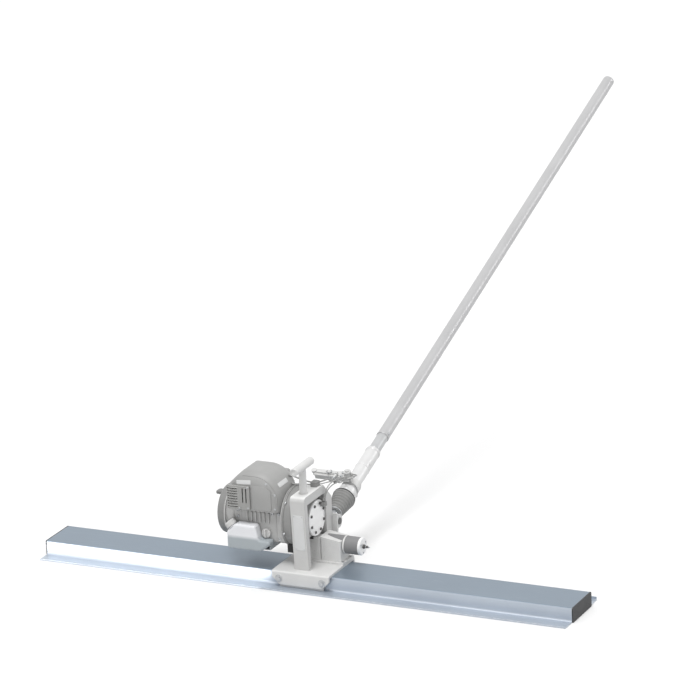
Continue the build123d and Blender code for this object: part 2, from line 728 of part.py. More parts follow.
def crankcase():
    right = BELL_LEFT - 4
    case = block(CASE_LEFT, right, CASE_Y0, CASE_Y1, CASE_Z0, CASE_Z1)
    case = fillet(case.edges().filter_by(Axis.X), 14)
    w = CASE_WALL
    case -= block(CASE_LEFT + w, right - w, CASE_Y0 + w, CASE_Y1 - w, CASE_Z0 + w, CASE_Z1 - w)
    for start in main_bearing_starts():
        case += block(start, start + MAIN_BEARING_W, CASE_Y0 + w, CASE_Y1 - w, CASE_Z0 + w, CASE_Z1 - w)
        case -= on_crank(rod(MAIN_BEARING_R, start - 1, start + MAIN_BEARING_W + 1))
    case -= on_crank(rod(CRANK_R + 2, CASE_LEFT - 1, right + 1))
    case -= on_crank(rod(CRANK_WEB_R + 2, CYL_X - 22, CYL_X + 22))
    case -= Pos(CYL_X, CRANK_Y, 0) * rod(BORE_R, CASE_Z1 - w - 1, CASE_Z1 + 1)
    for i in range(CASE_RIBS):
        x = CYL_X - 34 + i * CASE_RIB_PITCH
        case += block(x, x + 4, CASE_Y0 - 5, CASE_Y0, CASE_Z1 - 44, CASE_Z1 - 10)
    return [case, bell_plate()]


def cylinder():
    base = CASE_Z1
    top = base + 6 + FIN_COUNT * FIN_PITCH
    barrel = rod(BARREL_R, base, top) + Pos(0, 0, base + 2.5) * Box(FIN_SIZE, FIN_SIZE, 5)
    for i in range(FIN_COUNT):
        z = base + 6 + (i + 0.5) * FIN_PITCH
        barrel += Pos(0, 0, z) * Box(FIN_SIZE, FIN_SIZE, FIN_T)
    barrel += Pos(0, 0, top + HEAD_T / 2) * Box(FIN_SIZE - 8, FIN_SIZE - 8, HEAD_T)
    barrel -= rod(BORE_R, base - 1, top)
    barrel -= rod(5, top - 1, top + HEAD_T + 1)
    return Pos(CYL_X, CRANK_Y, 0) * barrel


def head_top():
    return CASE_Z1 + 6 + FIN_COUNT * FIN_PITCH + HEAD_T


def spark_plug():
    plug = rod(5, -HEAD_T, 0) + extrude(RegularPolygon(9, 6), 8) + rod(6, 8, 18) + rod(3, 18, 24)
    return Pos(CYL_X, CRANK_Y, head_top()) * plug


def shroud_outline(inset):
    """Closed outline of the engine's top cover in X and Z, moved in by inset."""
    left = CASE_LEFT + inset
    right = BELL_LEFT - 4 - inset
    top = SHROUD_TOP - inset
    radius = SHROUD_ROUND - inset
    shoulder = SHROUD_SHOULDER
    centre_x = right - radius
    low = CASE_Z1
    lines = Polyline((centre_x, top), (left + shoulder, top), (left, top - shoulder), (left, low),
                     (right, low), (right, top - radius))
    arc = RadiusArc((right, top - radius), (centre_x, top), -radius)
    return make_face(lines + arc)


def shroud_solid(inset):
    """The cover's rounded body, moved in by inset, with soft rims at its two ends."""
    y0 = SHROUD_Y0 + inset
    y1 = SHROUD_Y1 - inset
    plane = Plane(origin=(0, y0, 0), x_dir=(1, 0, 0), z_dir=(0, -1, 0))
    body = plane * extrude(shroud_outline(inset), -(y1 - y0))
    split = CASE_LEFT + SHROUD_SHOULDER

    def rims(x0, x1):
        return body.edges().filter_by(
            lambda e: min(abs(e.center().Y - y0), abs(e.center().Y - y1)) < 0.1
            and e.center().Z > CASE_Z1 + 1 and x0 < e.center().X < x1
        )

    body = fillet(rims(split + inset + 1, BELL_LEFT), SHROUD_EDGE - inset)
    return fillet(rims(CASE_LEFT + inset + 1, split - inset), SHOULDER_EDGE - inset)


def top_cover():
    cover = shroud_solid(0) - shroud_solid(SHROUD_WALL)
    cover -= block(GUARD_LEFT + 14, GUARD_RIGHT - 8, SHROUD_Y0 - 1, SHROUD_Y0 + 6, GUARD_Z0 + 8, GUARD_Z1 - 8)
    cover -= Pos(CYL_X, SHROUD_Y1, CASE_Z1 + 36) * Rot(90, 0, 0) * rod(16, -6, 6)
    return cover


def muffler():
    box = block(GUARD_LEFT + 16, GUARD_RIGHT - 10, SHROUD_Y0 + 8, SHROUD_Y0 + 48, GUARD_Z0 + 8, GUARD_Z1 - 8)
    box = fillet(box.edges().filter_by(Axis.Y), 8)
    port_z = CASE_Z1 + 36
    reach = block(GUARD_RIGHT - 30, CYL_X + 12, SHROUD_Y0 + 34, CRANK_Y - FIN_SIZE / 2, port_z - 12, port_z + 12)
    return box + reach


def muffler_guard():
    """Louvred guard over the muffler: a shallow pressed box, open at its back."""
    front = SHROUD_Y0 - GUARD_DEPTH
    guard = block(GUARD_LEFT, GUARD_RIGHT, front, SHROUD_Y0 + GUARD_HOLD, GUARD_Z0, GUARD_Z1)
    guard = fillet(guard.edges().filter_by(Axis.Y), 5)
    guard = chamfer(guard.faces().sort_by(Axis.Y)[0].edges(), 1.5)
    w = GUARD_WALL
    guard -= block(GUARD_LEFT + w, GUARD_RIGHT - w, front + w, SHROUD_Y0 + GUARD_HOLD + 1, GUARD_Z0 + w, GUARD_Z1 - w)
    pitch = (GUARD_Z1 - GUARD_Z0 - 12) / LOUVRES
    for i in range(LOUVRES):
        z = GUARD_Z0 + 6 + (i + 0.5) * pitch
        guard -= block(GUARD_LEFT - 1, GUARD_LEFT + 38, front - 1, front + w + 1, z - LOUVRE_H / 2, z + LOUVRE_H / 2)
        guard -= block(GUARD_LEFT - 1, GUARD_LEFT + w + 1, front - 1, SHROUD_Y0 - 4, z - LOUVRE_H / 2, z + LOUVRE_H / 2)
    for x in (GUARD_RIGHT - 26, GUARD_RIGHT - 14):
        guard -= block(x, x + 4, front - 1, front + w + 1, GUARD_Z0 + 24, GUARD_Z1 - 8)
    return guard - shroud_solid(0)


def blower_housing():
    wall = tube(BLOWER_R, BLOWER_R - 3, BLOWER_LEFT, CASE_LEFT)
    back = rod(BLOWER_R, CASE_LEFT - 3, CASE_LEFT) - rod(CRANK_R + 2, CASE_LEFT - 4, CASE_LEFT + 1)
    flange = tube(RECOIL_R, BLOWER_R - 3, BLOWER_LEFT, BLOWER_LEFT + 4)
    return on_crank(wall + back + flange)


def recoil_cover():
    """Domed starter cover; its face is closed but for the rope's hole and a ring of vents."""
    cover = rod(RECOIL_R, RECOIL_LEFT, BLOWER_LEFT)
    cover = fillet(cover.faces().sort_by(Axis.Z)[0].edges(), 9)
    cover -= rod(RECOIL_R - 3, RECOIL_LEFT + 9, BLOWER_LEFT + 1)
    cover -= rod(RECOIL_R - 11, RECOIL_LEFT + RECOIL_WALL, BLOWER_LEFT)
    cover += rod(6, RECOIL_LEFT + 1, RECOIL_LEFT + 12)
    for place in PolarLocations(RECOIL_R - 22, 16):
        cover -= place * (Pos(0, 0, RECOIL_LEFT) * Box(16, 5, 8))
    cover -= Pos(0, GRIP_Z - CRANK_Z, 0) * rod(ROPE_R + 8, RECOIL_LEFT - 1, RECOIL_LEFT + 4)
    cover += Pos(0, GRIP_Z - CRANK_Z, 0) * tube(ROPE_R + 8, ROPE_R + SLIP, RECOIL_LEFT, RECOIL_LEFT + RECOIL_WALL)
    return on_crank(cover)


def starter_reel():
    start = RECOIL_LEFT + 6
    reel = rod(REEL_R, start, start + 8) - tube(REEL_R + 1, REEL_R - 5, start + 2, start + 6)
    return on_crank(reel - rod(6 + FIT, start - 1, start + 9))


def starter_grip():
    """Pull grip with the short end of its rope inside the cover."""
    left = RECOIL_LEFT - GAP - GRIP_LENGTH
    grip = block(left, left + GRIP_LENGTH, CRANK_Y - GRIP_WIDTH / 2, CRANK_Y + GRIP_WIDTH / 2,
                 GRIP_Z - GRIP_T / 2, GRIP_Z + GRIP_T / 2)
    grip = fillet(grip.edges().filter_by(Axis.Z), 9)
    grip = fillet(grip.faces().sort_by(Axis.Z)[-1].edges() + grip.faces().sort_by(Axis.Z)[0].edges(), 3)
    rope = Pos(0, CRANK_Y, GRIP_Z) * Rot(0, 90, 0) * rod(ROPE_R, left + 4, RECOIL_LEFT + 8)
    return grip + rope


def tank_body(inset):
    """The tank's raised front and its low run under the crankcase, moved in by inset."""
    i = inset
    outline = [
        (TANK_LEFT + i, TANK_Z0 + i), (TANK_RIGHT - TANK_KEEL, TANK_Z0 + i),
        (TANK_RIGHT - 2 * i, TANK_LOBE_TOP - i), (TANK_STEP + 10 - i, TANK_LOBE_TOP - i), (TANK_STEP - i, TANK_TOP - i),
        (TANK_LEFT + TANK_SHOULDER_X, TANK_TOP - i), (TANK_LEFT + i, TANK_TOP - TANK_SHOULDER_Z),
    ]
    back = CASE_Y0 - 4 - i
    front = prism_y(outline, TANK_FRONT + i, back)
    front = fillet(front.edges().filter_by(Axis.Y), TANK_ROUND - i)
    front = fillet(front.faces().sort_by(Axis.Y)[0].edges(), TANK_FRONT_ROUND - i)
    low = block(TANK_LEFT + i, TANK_LOW_RIGHT - i, back - TANK_WALL * 2, TANK_BACK - i, TANK_Z0 + i, TANK_FLOOR_TOP - i)
    low = fillet(low.edges().filter_by(Axis.Z).sort_by(Axis.Y)[-2:], TANK_ROUND - i)
    return front + low


def filler_plane():
    """Frame of the filler neck, square to the tank's left shoulder."""
    return Plane(
        origin=(TANK_LEFT + TANK_SHOULDER_X / 2, FILLER_Y, TANK_TOP - TANK_SHOULDER_Z / 2),
        x_dir=(0, 1, 0), z_dir=(-TANK_SHOULDER_Z, 0, TANK_SHOULDER_X),
    )


def fuel_tank():
    tank = tank_body(0) - tank_body(TANK_WALL)
    neck = filler_plane() * tube(FILLER_R, FILLER_R - 3, -1, FILLER_REACH)
    tank -= filler_plane() * rod(FILLER_R - 3, -TANK_WALL * 3, 1)
    for y in (-20, 60):
        x = (TANK_STEP + TANK_LOW_RIGHT) / 2
        tank += Pos(x, y, 0) * rod(6, TANK_FLOOR_TOP - 1, CASE_Z0)
    return tank + neck


def fuel_cap():
    cap = rod(FUEL_CAP_R, 0, FUEL_CAP_T)
    cap = chamfer(cap.faces().sort_by(Axis.Z)[-1].edges(), 2)
    for place in PolarLocations(FUEL_CAP_R, 20):
        cap -= place * (Pos(0, 0, FUEL_CAP_T / 2 - 3) * Box(2.4, 2.4, FUEL_CAP_T - 4))
    cap -= rod(FILLER_R + SLIP, -1, FILLER_REACH - FUEL_CAP_LIFT)
    return filler_plane() * (Pos(0, 0, FUEL_CAP_LIFT) * cap)


def oil_cap():
    cap = rod(OIL_CAP_R, 0, OIL_CAP_T - 8) + Pos(0, 0, OIL_CAP_T - 4) * Box(5, 2 * OIL_CAP_R - 6, 8)
    return Pos(OIL_CAP_X, CASE_Y0, OIL_CAP_Z) * Rot(90, 0, 0) * cap


def carburettor():
    z = CASE_Z1 + 36
    body = rod(13, CRANK_Y + FIN_SIZE / 2 + 0.5, SHROUD_Y1) + block(-14, 14, -14, 14, CRANK_Y + 34, SHROUD_Y1 - 4)
    return Pos(CYL_X, 0, z) * Rot(-90, 0, 0) * body


def air_cleaner():
    box = block(CYL_X - 46, CYL_X + 46, SHROUD_Y1, SHROUD_Y1 + 42, CASE_Z1 + 2, CASE_Z1 + 84)
    box = fillet(box.edges().filter_by(Axis.Y), 12)
    return fillet(box.faces().sort_by(Axis.Y)[-1].edges(), 6)


# ------------------------------------------------------------------ tilt joint
def tilt_clevis():
    lug_outer = LUG_GAP / 2 + LUG_T
    plate = block(-lug_outer - 6, lug_outer + 6, REAR_OUTER_Y, REAR_OUTER_Y + CLEVIS_T,
                  PIVOT_Z - CLEVIS_HALF_H, PIVOT_Z + CLEVIS_HALF_H)
    for side in (-1, 1):
        x0, x1 = sorted((side * LUG_GAP / 2, side * lug_outer))
        plate += block(x0, x1, REAR_OUTER_Y + CLEVIS_T, PIVOT_Y, PIVOT_Z - LUG_R, PIVOT_Z + LUG_R)
        plate += pivot_rod(LUG_R, x0, x1)
    return plate - pivot_rod(PIN_R, -lug_outer - 1, lug_outer + 1)


def pivot_rod(radius, x0, x1):
    return Pos(0, PIVOT_Y, PIVOT_Z) * Rot(0, 90, 0) * rod(radius, x0, x1)


def pivot_pin():
    end = LUG_GAP / 2 + LUG_T
    return pivot_rod(PIN_R, -end - 3, end + 3) + pivot_rod(PIN_R + 4, end, end + 3)


def tilt_head():
    """Knuckle on the pivot pin with the neck that carries the sleeve."""
    half = LUG_GAP / 2 - GAP
    head = pivot_rod(KNUCKLE_R, -half, half)
    head += on_pole(rod(NECK_R, 6, COLLAR_END + 8))
    return head - pivot_rod(PIN_R + FIT, -half - 1, half + 1)


def boot():
    """Ribbed rubber boot, a stack of double cones."""
    pitch = (BOOT_END - BOOT_START) / BOOT_FOLDS
    skin = None
    for i in range(BOOT_FOLDS):
        t0 = BOOT_START + i * pitch
        f0 = i / BOOT_FOLDS
        valley0 = BOOT_SMALL_R + (BOOT_BIG_R - BOOT_SMALL_R) * f0 - 2
        valley1 = BOOT_SMALL_R + (BOOT_BIG_R - BOOT_SMALL_R) * (f0 + 1 / BOOT_FOLDS) - 2
        peak = (valley0 + valley1) / 2 + 3
        fold = cone(valley0, peak, t0, t0 + pitch / 2) + cone(peak, valley1, t0 + pitch / 2, t0 + pitch)
        hollow = cone(valley0 - BOOT_WALL, valley1 - BOOT_WALL, t0, t0 + pitch)
        fold -= hollow
        skin = fold if skin is None else skin + fold
    return on_pole(skin + tube(BOOT_BIG_R - 2, NECK_R + 2 + GAP, BOOT_END - BOOT_WALL, BOOT_END))


def collar():
    ring = tube(COLLAR_R, NECK_R, BOOT_END, COLLAR_END)
    ring = chamfer(ring.faces().sort_by(Axis.Z)[-1].outer_wire().edges(), 3)
    ring += tube(NECK_R + 2, NECK_R, BOOT_START + 4, BOOT_END)
    return on_pole(ring)


def guide_sleeve():
    sleeve = tube(SLEEVE_R, SLEEVE_BORE, COLLAR_END, SLEEVE_END)
    sleeve = chamfer(sleeve.faces().sort_by(Axis.Z)[-1].outer_wire().edges(), 1.5)
    sleeve += tube(SLEEVE_BORE, NECK_R, COLLAR_END, COLLAR_END + 6)
    screw_hole = Pos(0, 0, SLEEVE_SCREW_AT) * Rot(0, 90, 0) * rod(SCREW_R, 0, SLEEVE_R + 2)
    screw = rod(SCREW_R, COUPLER_R + GAP, SLEEVE_R) + rod(SCREW_HEAD_R, SLEEVE_R, SLEEVE_R + 2.2)
    screw = Pos(0, 0, SLEEVE_SCREW_AT) * Rot(0, 90, 0) * screw
    turn = Rot(0, 0, -BUTTON_ANGLE)
    return [on_pole(sleeve - turn * screw_hole), on_pole(turn * screw)]


def sleeve_bushes():
    bore = COUPLER_R + FIT
    starts = (COUPLER_START + 10, SLEEVE_END - BUSH_LENGTH - 2)
    return [on_pole(tube(SLEEVE_BORE, bore, s, s + BUSH_LENGTH)) for s in starts]


# ------------------------------------------------------------------ twisting pole
def button_rod(radius, r0, r1):
    """A radial cylinder at the snap button's place."""
    return Rot(0, 0, -BUTTON_ANGLE) * (Pos(0, 0, BUTTON_AT) * Rot(0, 90, 0) * rod(radius, r0, r1))


def coupler_tube():
    part = tube(COUPLER_R, COUPLER_R - COUPLER_WALL, COUPLER_START, COUPLER_END)
    part -= button_rod(BUTTON_R + SLIP, 0, 40)
    pin = Rot(0, 0, -BUTTON_ANGLE) * (Pos(0, 0, SLEEVE_END + 8) * Rot(0, 90, 0) * rod(3.5, 17, COUPLER_R + 1.6))
    return on_pole(part + pin)


def pole():
    part = tube(POLE_R, POLE_R - POLE_WALL, POLE_START, POLE_END)
    return on_pole(part - button_rod(BUTTON_R + SLIP, 0, 40))


def pole_cap():
    cap = rod(POLE_R, POLE_END, POLE_END + POLE_CAP_T)
    cap = fillet(cap.faces().sort_by(Axis.Z)[-1].edges(), 3)
    bore = POLE_R - POLE_WALL - SLIP
    return on_pole(cap + tube(bore, bore - 3, POLE_END - POLE_CAP_PLUG, POLE_END))


def snap_button():
    button = button_rod(BUTTON_R, 10, POLE_R + BUTTON_STAND)
    tip = button.edges().filter_by(GeomType.CIRCLE).sort_by(Axis.X)[-1]
    return on_pole(fillet(tip, 2))


# ------------------------------------------------------------------ controls
def control_bracket():
    """Split clamp on the sleeve, riser, cross plate, cable stop and the lever's stud and nut."""
    ring = tube(CLAMP_R, SLEEVE_R, CLAMP_AT, CLAMP_AT + CLAMP_W)
    ring -= block(-2, 2, -CLAMP_R - 1, 0, CLAMP_AT - 1, CLAMP_AT + CLAMP_W + 1)
    for x0, x1 in ((-9, -2), (2, 9)):
        ring += block(x0, x1, -CLAMP_R - 14, -SLEEVE_R - 2, CLAMP_AT, CLAMP_AT + CLAMP_W)
    ring += block(-12, 12, SLEEVE_R + 2, PLATE_V, CLAMP_AT, CLAMP_AT + 8)
    plate = block(PLATE_NEAR, PLATE_FAR, PLATE_V, PLATE_V + PLATE_T, PLATE_AT, PLATE_AT + PLATE_W)
    plate = fillet(plate.edges().filter_by(Axis.Y), 7)
    plate += block(PLATE_NEAR + 8, PLATE_FAR - 8, PLATE_V - 12, PLATE_V, PLATE_AT, PLATE_AT + 3)
    plate += block(CABLE_STOP_ACROSS - 4, CABLE_STOP_ACROSS + 4, PLATE_V, CABLE_V + 6, PLATE_AT + 3, PLATE_AT + 11)
    stud_top = PLATE_V + PLATE_T + LEVER_T + 2 * GAP
    stud = rod(LEVER_STUD_R, PLATE_V, stud_top) + Pos(0, 0, stud_top) * extrude(RegularPolygon(7, 6), 5)
    plate += Pos(LEVER_ACROSS, 0, LEVER_AT) * Rot(-90, 0, 0) * stud
    screw = rod(3, -12, 12) + rod(5, 9, 13) + rod(5, -13, -9)
    screw = Pos(0, -CLAMP_R - 7, CLAMP_AT + CLAMP_W / 2) * Rot(0, 90, 0) * screw
    return on_sleeve(ring + plate + screw)


def throttle_lever():
    """Flat lever with a round thumb pad, on the bracket's stud."""
    low = PLATE_V + PLATE_T + GAP
    high = low + LEVER_T
    arm = block(0, LEVER_LENGTH, low, high, -5, 5)
    arm += Rot(-90, 0, 0) * rod(10, low, high)
    arm += Pos(LEVER_LENGTH, 0, 0) * Rot(-90, 0, 0) * rod(9, low, high + 4)
    arm += block(-15, 0, low, high, -4, 4)
    arm -= Rot(-90, 0, 0) * rod(LEVER_STUD_R + FIT, low - 1, high + 5)
    return on_sleeve(Pos(LEVER_ACROSS, 0, LEVER_AT) * arm)


def switch_place():
    return Pos(SWITCH_ACROSS, PLATE_V + PLATE_T, PLATE_AT + PLATE_W / 2) * Rot(-90, 0, 0)


def stop_switch():
    body = rod(SWITCH_R + 3, 0, SWITCH_H) - rod(SWITCH_R - 3 + SLIP, 4, SWITCH_H + 1)
    return on_sleeve(switch_place() * body)


def stop_button():
    button = rod(SWITCH_R - 3, 4 + SWITCH_TRAVEL + GAP, SWITCH_H + SWITCH_TRAVEL + 1)
    button = fillet(button.faces().sort_by(Axis.Z)[-1].edges(), 1.5)
    return on_sleeve(switch_place() * button)


# ------------------------------------------------------------------ cables
def cable(points, radius):
    """A round cable along straight runs joined by arcs as large as the runs allow."""
    vectors = [Vector(*p) for p in points]
    runs = [b - a for a, b in zip(vectors, vectors[1:])]
    radii = []
    for before, after in zip(runs, runs[1:]):
        turn = math.radians(before.get_angle(after))
        radii.append(0.45 * min(before.length, after.length) / math.tan(turn / 2))
    path = FilletPolyline(*vectors, radius=radii)
    start = Plane(origin=path @ 0, z_dir=path % 0)
    solid = sweep(start * Circle(radius), path=path)
    expected = math.pi * radius ** 2 * path.length
    print(f"cable: length {path.length:.1f}, radii {[round(r) for r in radii]}, "
          f"volume ratio {solid.volume / expected:.4f}")
    return solid


THROTTLE_ROUTE = [
    (-82.9, 36, 330), (-56, 38, 323), (-26, 41, 313), (4, 50, 308), (18, 82, 307),
    (12, 118, 299), (-2, 154, 283), (-18, 194, 263), (-33, 233, 248), (-33, 268.3, 257.8),
]
STOP_ROUTE = [
    (-69.9, 28, 304), (-46, 29, 306.5), (-19, 31, 307), (8, 38, 306), (26, 60, 306),
    (30, 94, 300), (26, 134, 289), (16, 174, 273), (4, 212, 252), (2, 242, 246), (2, 268.9, 256),
]
EARTH_ROUTE = [
    (14.6, 280.7, 260.1), (32, 280, 261), (46, 260, 266), (52, 226, 276), (51, 186, 288),
    (46, 146, 298), (41, 106, 302), (36, 72, 298), (30, 56, 276), (26, 50, 250),
]
LIVE_ROUTE = [
    (14.6, 276.9, 258.8), (28, 272, 259), (40, 252, 262), (45, 218, 270), (44, 178, 280),
    (40, 138, 287), (35, 100, 288), (31, 74, 280), (27, 62, 263), (25, 58, 246),
]


def throttle_cable():
    return cable(THROTTLE_ROUTE, CABLE_R)


def stop_wires():
    """The engine's kill wire to the switch, and the switch's two wires to the frame."""
    return [cable(route, WIRE_R) for route in (STOP_ROUTE, EARTH_ROUTE, LIVE_ROUTE)]


def cable_clips():
    """Rubber clip on the frame's top for both engine cables, and the terminal block by the cover."""
    clip = block(-8, 14, 30, 59, FRAME_TOP, FRAME_TOP + 15)
    clip = fillet(clip.edges().filter_by(Axis.Z), 4)
    clip -= cable(THROTTLE_ROUTE, CABLE_R + GAP)
    clip -= cable(STOP_ROUTE, WIRE_R + GAP)
    cover_face = FRAME_LEFT + HOUSING_DEPTH + COVER_T
    terminal = block(cover_face, cover_face + 14, 44, 63, 232, 246 - GAP)
    terminal -= cover_screws_envelope()
    return [clip, fillet(terminal.edges().filter_by(Axis.X), 2)]


def cover_screws_envelope():
    end = FRAME_LEFT + HOUSING_DEPTH + COVER_T
    places = PolarLocations(COVER_SCREW_PCD / 2, COVER_SCREWS, start_angle=22.5)
    heads = [place * rod(SCREW_HEAD_R + GAP, end - 1, end + SCREW_HEAD_T + GAP) for place in places]
    return on_crank(Compound(children=heads))


SUB_PARTS = [
    blade, end_caps, clamp_saddle, clamp_jaws, frame_bolts, head_frame, lift_handle,
    bearing_housing, bearing_cover, cover_screws, ball_bearings, drive_shaft, drive_pulley, belt,
    exciter_pedestal, exciter_tube, exciter_shaft, eccentric_weights, driven_pulley,
    exciter_end_cap, grease_nipple,
    crankcase, crankshaft, flywheel_fan, clutch_shoes, clutch_drum, clutch_housing, rubber_foot,
    cylinder, spark_plug, top_cover, muffler, muffler_guard, blower_housing, recoil_cover,
    starter_reel, starter_grip, fuel_tank, fuel_cap, oil_cap, carburettor, air_cleaner,
    tilt_clevis, pivot_pin, tilt_head, boot, collar, guide_sleeve, sleeve_bushes,
    coupler_tube, pole, pole_cap, snap_button,
    control_bracket, throttle_lever, stop_switch, stop_button, throttle_cable, stop_wires,
    cable_clips,
]


def write(name, shape):
    solids = shape if isinstance(shape, list) else [shape]
    bodies = [solid for piece in solids for solid in piece.solids()]
    export_step(Compound(label=name, children=bodies), f"parts/{name}.step")


def main():
    os.makedirs("parts", exist_ok=True)
    for make in SUB_PARTS:
        write(make.__name__, make())


main()
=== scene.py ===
"""Vibrating power screed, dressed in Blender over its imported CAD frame."""
import json
import math

import bpy
from mathutils import Matrix, Vector
from mathutils.bvhtree import BVHTree


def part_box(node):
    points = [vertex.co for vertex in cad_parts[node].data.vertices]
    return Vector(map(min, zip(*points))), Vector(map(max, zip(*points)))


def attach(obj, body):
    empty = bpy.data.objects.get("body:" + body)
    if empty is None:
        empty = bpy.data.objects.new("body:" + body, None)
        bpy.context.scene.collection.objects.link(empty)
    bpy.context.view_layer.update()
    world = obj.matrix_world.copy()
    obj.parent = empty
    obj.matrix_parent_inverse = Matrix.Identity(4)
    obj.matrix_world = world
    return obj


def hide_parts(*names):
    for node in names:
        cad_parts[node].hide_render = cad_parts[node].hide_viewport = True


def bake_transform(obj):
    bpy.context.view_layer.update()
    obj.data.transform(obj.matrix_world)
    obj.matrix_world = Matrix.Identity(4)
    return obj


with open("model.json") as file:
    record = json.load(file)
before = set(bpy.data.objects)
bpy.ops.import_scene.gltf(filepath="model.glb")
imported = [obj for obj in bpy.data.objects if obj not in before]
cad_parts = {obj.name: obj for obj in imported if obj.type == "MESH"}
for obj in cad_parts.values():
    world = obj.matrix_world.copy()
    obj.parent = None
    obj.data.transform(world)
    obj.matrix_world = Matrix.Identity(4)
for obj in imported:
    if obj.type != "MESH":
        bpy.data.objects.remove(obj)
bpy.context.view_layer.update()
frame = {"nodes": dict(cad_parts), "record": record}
NODES = frame["nodes"]
RECORD = frame["record"]
MM = 0.001                                          # shapes are written in mm, and the scene is in metres


# ------------------------------------------------------------------ colour and node helpers
def srgb(r, g, b):
    """A colour written in 0 to 255 sRGB, as linear RGBA."""
    def channel(c):
        c /= 255
        return c / 12.92 if c <= 0.04045 else ((c + 0.055) / 1.055) ** 2.4
    return (channel(r), channel(g), channel(b), 1.0)


def around(colour, tone):
    """The dark and the light side of a colour, which lie tone apart."""
    return srgb(*[max(0, c - tone / 2) for c in colour]), srgb(*[min(255, c + tone / 2) for c in colour])


class Graph:
    """A small writer of a material's node tree."""

    def __init__(self, name):
        self.material = bpy.data.materials.new(name)
        self.material.use_nodes = True
        self.nodes = self.material.node_tree.nodes
        self.links = self.material.node_tree.links
        self.nodes.clear()
        self.shader = self.add("ShaderNodeBsdfPrincipled")
        output = self.add("ShaderNodeOutputMaterial")
        self.link(self.shader.outputs[0], output.inputs[0])
        self.place = self.add("ShaderNodeTexCoord").outputs["Object"]

    def add(self, kind, **values):
        node = self.nodes.new(kind)
        for key, value in values.items():
            setattr(node, key, value)
        return node

    def link(self, a, b):
        self.links.new(a, b)

    def put(self, socket, value):
        if isinstance(value, bpy.types.NodeSocket):
            self.link(value, socket)
        else:
            socket.default_value = value

    def mapped(self, stretch, turn=(0, 0, 0)):
        node = self.add("ShaderNodeMapping")
        node.inputs["Scale"].default_value = stretch
        node.inputs["Rotation"].default_value = turn
        self.link(self.place, node.inputs["Vector"])
        return node.outputs[0]

    def noise(self, vector, scale, detail=4.0, rough=0.55):
        node = self.add("ShaderNodeTexNoise")
        self.link(vector, node.inputs["Vector"])
        node.inputs["Scale"].default_value = scale
        node.inputs["Detail"].default_value = detail
        node.inputs["Roughness"].default_value = rough
        return node.outputs["Fac"]

    def spread(self, value, a, b, c=0.0, d=1.0):
        """The value with its range from a to b laid over the range from c to d."""
        node = self.add("ShaderNodeMapRange")
        node.clamp = True
        self.link(value, node.inputs["Value"])
        for i, v in enumerate((a, b, c, d)):
            node.inputs[i + 1].default_value = v
        return node.outputs[0]

    def maths(self, operation, a, b):
        node = self.add("ShaderNodeMath", operation=operation)
        self.put(node.inputs[0], a)
        self.put(node.inputs[1], b)
        return node.outputs[0]

    def blend(self, a, b, share):
        """Two noises added, with share of the first one."""
        return self.maths("ADD", self.maths("MULTIPLY", a, share), self.maths("MULTIPLY", b, 1 - share))

    def mix(self, factor, a, b):
        node = self.add("ShaderNodeMix", data_type="RGBA")
        self.put(node.inputs["Factor"], factor)
        self.put(node.inputs["A"], a)
        self.put(node.inputs["B"], b)
        return node.outputs["Result"]

    def height(self, vector):
        """The Z share of a vector."""
        node = self.add("ShaderNodeSeparateXYZ")
        self.link(vector, node.inputs[0])
        return node.outputs["Z"]

    def edges(self, radius):
        """Near 1 where two faces meet at an edge."""
        bevel = self.add("ShaderNodeBevel", samples=6)
        bevel.inputs["Radius"].default_value = radius
        plain = self.add("ShaderNodeNewGeometry")
        dot = self.add("ShaderNodeVectorMath", operation="DOT_PRODUCT")
        self.link(bevel.outputs[0], dot.inputs[0])
        self.link(plain.outputs["Normal"], dot.inputs[1])
        return self.spread(dot.outputs["Value"], 0.995, 0.86)

    def upward(self, none, full):
        """Near 1 on faces that look up, by how upright their normal is."""
        geometry = self.add("ShaderNodeNewGeometry")
        return self.spread(self.height(geometry.outputs["Normal"]), none, full)


# ------------------------------------------------------------------ what makes a finish
MATERIALS = {}
EDGE_WIDTH, ROUND_EDGE = 0.0015, 0.0009             # metres, of a worn edge and of a rounded one
EDGE_SHARE, SPECK_SHARE = 0.8, 0.7                  # how strongly the two colour a surface
SPECK_SCALE, SPECK_CUT = 260.0, 0.66                # how fine the specks are, and how few
SCRATCHES = ((0.5, 3.1), (-0.9, 7.7))               # angle and seed of the two sets of scratches
SCRATCH_STRETCH = (9, 420, 420)
SCRATCH_LIFT = 40                                   # how much lighter than the colour they are
LEVEL_RAGGED = 0.006                                # metres by which the edge of the painted shade low down wanders
TOP_SHADING_FADE = 0.004                                    # metres over which the painted top light or shade begins
